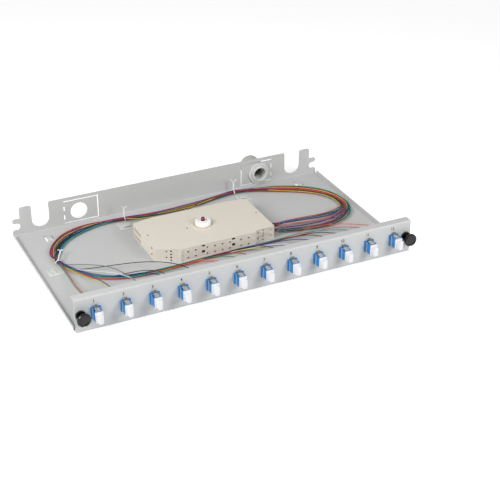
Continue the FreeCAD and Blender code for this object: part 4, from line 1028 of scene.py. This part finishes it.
class DRAWER_OT_fibres(bpy.types.Operator):
    """Twenty-four coloured fibres from the cassettes round the tray to the ports"""

    bl_idname = "drawer.fibres"
    bl_label = "Fibres"

    def execute(self, context):
        sizes = context.scene.drawer_sizes
        self.chance = random.Random(sizes.seed)
        self.thick = sizes.fibre / MM
        self.seats = self.seating()
        self.lanes = [self.ordered(stretch) for stretch in range(len(LANES))]
        self.lanes.append(range(len(FIBRES)))
        self.boot_y = box("lc_connectors")[1].y
        for index in range(len(FIBRES)):
            self.fibre(index, sizes.fibre / 2)
        return {"FINISHED"}

    def seating(self):
        """Seats in the tied bundle, the first of the TOP colours uppermost"""
        count = len(FIBRES)
        seats = sorted(range(count), key=lambda seat: -math.sqrt(seat + 0.5) * math.sin(SEED_ANGLE * seat))
        wishes = sorted(range(count), key=lambda index: TOP.index(FIBRES[index][1]))
        return [seats[wishes.index(index)] for index in range(count)]

    def ordered(self, stretch):
        """Lane of each fibre in one stretch: the lower cassette's fibres outside, or both mixed"""
        lanes = []
        for port, colour, way in FIBRES:
            upper = port <= UPPER_PORTS
            place = LANES[stretch][upper].split().index(colour)
            lanes.append(2 * place + upper if stretch else place + PORTS * upper)
        return lanes

    def seat(self, index):
        """Place in the tied bundle: fibres packed like seeds in a flat oval"""
        radius = 0.55 * math.sqrt(self.seats[index] + 0.5)
        angle = SEED_ANGLE * self.seats[index]
        return 1.3 * radius * math.cos(angle), 0.8 * radius * math.sin(angle)

    def beside(self, line, at, index, stretch, level=None):
        """One fibre's point beside the middle line: tied together or fanned out"""
        x, y, half = line[at][:3]
        loose = 1 if level else line[at][3]
        before = line[max(at - 1, 0)]
        after = line[min(at + 1, len(line) - 1)]
        run = Vector((after[0] - before[0], after[1] - before[1]))
        run.normalize()
        tied, rise = self.seat(index)
        lane = self.lanes[stretch][index]
        count = len(FIBRES)
        if level:
            lane, count = lane % PORTS, PORTS
        share = 1 - 2 * lane / (count - 1)
        wander = self.chance.uniform(-WANDER, WANDER)
        front = stretch == len(TIED)
        layer = SHEET + self.thick * (0.55 + (lane + front) % LAYERS) + self.chance.uniform(0, 0.6)
        aside = tied * (1 - loose) + (share * half + wander) * loose
        height = (BUNCH_LEVEL + rise) * (1 - loose) + layer * loose
        if level:
            height = level + rise * 1.6
        return Vector((x + run.y * aside, y - run.x * aside, height))

    def fibre(self, index, radius):
        """One fibre: out of its cassette, round the ring, along the front and into its boot"""
        port, colour, way = FIBRES[index]
        name = "fibre_%02d_%s" % (port, colour)
        upper = port <= UPPER_PORTS
        wall = box("upper_cassette" if upper else "lower_cassette")[1].x
        tied, rise = self.seat(index)
        level = (14 if upper else 5.4) + rise
        spots = [
            Vector((wall - 3.5, ENTRY_Y + tied * 1.4, level + 0.1)),
            Vector((wall + 6, ENTRY_Y + tied * 1.5, level)),
        ]
        right = RIGHT_UPPER if upper else RIGHT_LOWER
        spots += [self.beside(right, at, index, 0, right[at][3]) for at in range(len(right))]
        spots += self.ring(index)
        for at in range(len(FRONT)):
            if FRONT[at][0] < way[0][0] - 9:
                spots.append(self.beside(FRONT, at, index, len(TIED)))
        spots += [Vector(spot) for spot in way]
        high = port in [entry[0] for entry in FIBRES[:index]]
        x = port_x(port)
        z = middle("adapter_01").z + (SOCKET_RISE if high else -SOCKET_RISE)
        spots.append(Vector(((x + way[-1][0]) / 2, self.boot_y + 13.5, 14.3)))
        spots.append(Vector((x, self.boot_y + 7, min(z - 0.6, 19.5))))
        spots.append(Vector((x, self.boot_y - 0.4, z)))
        if upper:
            joint = (spots[1] + spots[2]) / 2
            entry = tube(name + "_entry", [*spots[:2], joint], radius)
            entry.data.materials.append(materials()[colour])
            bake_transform(entry)
            spots = [joint, *spots[2:]]
        nodes = ("fibre_loom_upper", "fibre_loom_lower", "fibre_tails")
        finished(tube(name, spots, radius), colour, "drawer", "fibre_jackets", *nodes)

    def ring(self, index):
        """Round the tray, with the slack of two fibres behind the cassettes"""
        fibre = FIBRES[index][:2]
        slack = range(TIED[0] + 3, TIED[1]) if fibre in SLACK_FIBRES else ()
        spots = []
        for at in range(len(RING)):
            if at not in slack:
                spots.append(self.beside(RING, at, index, sum(at > tie for tie in TIED)))
            elif at == slack[0]:
                shift = 1.2 * SLACK_FIBRES.index(fibre)
                spots += [Vector((x, y - shift, z)) for x, y, z in SLACK]
        return spots


# Each tie: where it holds the bundle, the bundle's way there, and its two tips across and up
TIES = {
    "rear_left": ((-76, 102.5, 0), (1, 0.05, 0), ((-79, 23.6), (-71.5, 21.2))),
    "rear_right": ((86, 110.9, 0), (1, -0.05, 0), ((81, 24.4), (90.5, 22.6))),
    "left": ((-189.3, 30.5, 0), (0.2, -1, 0), None),
}
LEFT_LEAN = Vector((9, 17.5, 2))
LEFT_ENDS = (((2, 1, 1), (3, -2, 1.5)), ((-1, 2, 1), (-3, 3, 0)))


class DRAWER_OT_ties(bpy.types.Operator):
    """White covered-wire ties and their stick-on bases"""

    bl_idname = "drawer.ties"
    bl_label = "Ties"

    def execute(self, context):
        for side in TIES:
            node = "tie_mount_" + side
            finished(softened("base_" + side, node, 0.25, 3), "mount", "drawer", "mount_white", node)
        for side in TIES:
            self.tie(side, context.scene.drawer_sizes.wire)
        return {"FINISHED"}

    def tie(self, side, radius):
        """A loop round the bundle, a twisted stem and two free ends"""
        spot, run, tips = TIES[side]
        spot, run = Vector(spot), Vector(run).normalized()
        across = Vector((run.y, -run.x, 0))
        up = Vector((0, 0, 1))
        loop = []
        for index in range(9):
            angle = math.radians(110 + index * 40)
            loop.append(spot + across * 4.1 * math.cos(angle) + up * (BUNCH_LEVEL + 2.5 * math.sin(angle)))
        start = spot + up * 7.2
        if tips:
            top = spot + up * 18.5
            turns = 4
            ends = []
            for x, z in tips:
                half_way = Vector((x * 0.5 + spot.x * 0.5, spot.y, 20 + (z - 20) * 0.4))
                ends.append([half_way, Vector((x, spot.y, z))])
        else:
            top = start + LEFT_LEAN
            turns = 4.5
            ends = [[top + Vector(shift) for shift in end] for end in LEFT_ENDS]
        first, second = (self.strand(start, top, turns, phase, across) for phase in (0, math.pi))
        path = ends[0][::-1] + first[::-1] + loop + second + ends[1]
        wire = tube("tie_wire_" + side, path, radius, 3)
        finished(wire, "tie", "drawer", "tie_white", "tie_" + side)

    def strand(self, start, top, turns, phase, across):
        """One of the two twisted wires of the stem"""
        steps = round(turns * 6)
        way = top - start
        second = way.normalized().cross(across)
        spots = []
        for step in range(steps + 1):
            angle = phase + 2 * math.pi * turns * step / steps
            aside = across * math.cos(angle) + second * math.sin(angle)
            spots.append(start + way * (step / steps) + aside * 0.62)
        return spots


# Lamps and camera are in metres. Each lamp: place, aim, diameter; its power is a setting of the stage
LAMPS = {
    "left": ((-0.95, -0.28, 0.68), (-0.05, 0, 0), 0.6),
    "front": ((0.45, -0.85, 0.5), (0.1, -0.1, 0.02), 0.4),
    "top": ((0.1, 0.1, 1.6), (0, 0, 0), 1.8),
}
FLOOR_GLOW = 0.45
CAMERA_PLACE = (-0.53988, -1.23399, 0.75561)
# Degrees from straight down, about the upright and about the line of view
CAMERA_TURNS = (60.416, -25.727, 0.118)


class DRAWER_OT_stage(bpy.types.Operator):
    """Pale floor, soft lamps and the camera"""

    bl_idname = "drawer.stage"
    bl_label = "Stage"

    def execute(self, context):
        settings = context.scene.drawer_stage
        self.floor()
        self.world(context.scene, settings.ambient)
        for name, (place, target, size) in LAMPS.items():
            self.lamp(name + "_lamp", place, target, size, getattr(settings, name))
        self.camera(context.scene, settings.lens)
        context.scene.view_settings.view_transform = "Standard"
        return {"FINISHED"}

    def floor(self):
        """White where the camera looks past the drawer, and it keeps the shadow"""
        fresh()
        bpy.ops.mesh.primitive_plane_add(size=12, location=(0, 0, -0.3 * MM))
        item = bpy.context.object
        item.name = "floor"
        settle(item)
        paint = Paint("floor_white", Roughness=0.9)
        paint.colour(paint.mix(paint.noise(3, 2), linear("F4F4F4"), linear("F1F1F1")))
        seen = paint.node("ShaderNodeLightPath", out="Is Camera Ray")
        shiny = paint.node("ShaderNodeLightPath", out="Is Glossy Ray")
        strength = (seen + shiny) * FLOOR_GLOW
        glow = paint.node("ShaderNodeEmission", {}, {"Color": (1, 1, 1, 1), "Strength": strength})
        surface = Value(paint, paint.surface.outputs[0])
        both = paint.node("ShaderNodeAddShader", {}, {0: surface, 1: glow})
        paint.feed(paint.tree.nodes["Material Output"].inputs["Surface"], both)
        item.data.materials.append(paint.material)

    def world(self, scene, ambient):
        """Soft light from all round, plain white to the camera"""
        scene.world = bpy.data.worlds.new("soft surroundings")
        scene.world.use_nodes = True
        tree = scene.world.node_tree
        back = tree.nodes["Background"]
        white = tree.nodes.new("ShaderNodeBackground")
        for shader, strength in ((back, ambient), (white, 1)):
            shader.inputs["Color"].default_value = (1, 1, 1, 1)
            shader.inputs["Strength"].default_value = strength
        path = tree.nodes.new("ShaderNodeLightPath")
        mix = tree.nodes.new("ShaderNodeMixShader")
        tree.links.new(path.outputs["Is Camera Ray"], mix.inputs[0])
        tree.links.new(back.outputs[0], mix.inputs[1])
        tree.links.new(white.outputs[0], mix.inputs[2])
        tree.links.new(mix.outputs[0], tree.nodes["World Output"].inputs["Surface"])

    def lamp(self, name, place, target, size, power):
        data = bpy.data.lights.new(name, "AREA")
        data.shape = "DISK"
        data.size = size
        data.energy = power
        item = linked(name, data)
        item.location = place
        item.rotation_euler = (Vector(target) - Vector(place)).to_track_quat("-Z", "Y").to_euler()

    def camera(self, scene, lens):
        data = bpy.data.cameras.new("camera")
        data.sensor_width = 36
        data.lens = lens
        data.shift_x = 0.0041
        data.shift_y = -0.0006
        data.clip_start = 0.05
        item = linked("camera", data)
        item.location = CAMERA_PLACE
        tilt, heading, roll = (math.radians(angle) for angle in CAMERA_TURNS)
        turned = Euler((tilt, 0, heading)).to_matrix() @ Matrix.Rotation(roll, 3, "Z")
        item.rotation_euler = turned.to_euler()
        scene.camera = item


OPERATORS = (
    DRAWER_OT_tray,
    DRAWER_OT_ports,
    DRAWER_OT_fasteners,
    DRAWER_OT_cassettes,
    DRAWER_OT_gland,
    DRAWER_OT_fibres,
    DRAWER_OT_ties,
    DRAWER_OT_stage,
)


class DRAWER_PT_panel(bpy.types.Panel):
    """Lists the drawer's steps"""

    bl_idname = "DRAWER_PT_panel"
    bl_label = "Fibre patch drawer"
    bl_space_type = "VIEW_3D"
    bl_region_type = "UI"
    bl_category = "Drawer"

    def draw(self, context):
        for operator in OPERATORS:
            self.layout.operator(operator.bl_idname)
        for group in ("drawer_sizes", "drawer_stage", "drawer_finish", "drawer_jackets"):
            settings = getattr(context.scene, group)
            for name in settings.__annotations__:
                self.layout.prop(settings, name)


GROUPS = {
    "drawer_finish": DrawerFinish,
    "drawer_jackets": DrawerJackets,
    "drawer_sizes": DrawerSizes,
    "drawer_stage": DrawerStage,
}


def register():
    for kind in (*GROUPS.values(), *OPERATORS, DRAWER_PT_panel):
        bpy.utils.register_class(kind)
    for name, kind in GROUPS.items():
        setattr(bpy.types.Scene, name, bpy.props.PointerProperty(type=kind))


def unregister():
    for name in GROUPS:
        delattr(bpy.types.Scene, name)
    for kind in (DRAWER_PT_panel, *reversed(OPERATORS), *GROUPS.values()):
        bpy.utils.unregister_class(kind)


def main():
    register()
    for operator in OPERATORS:
        group, name = operator.bl_idname.split(".")
        getattr(getattr(bpy.ops, group), name)()


if __name__ == "__main__":
    main()
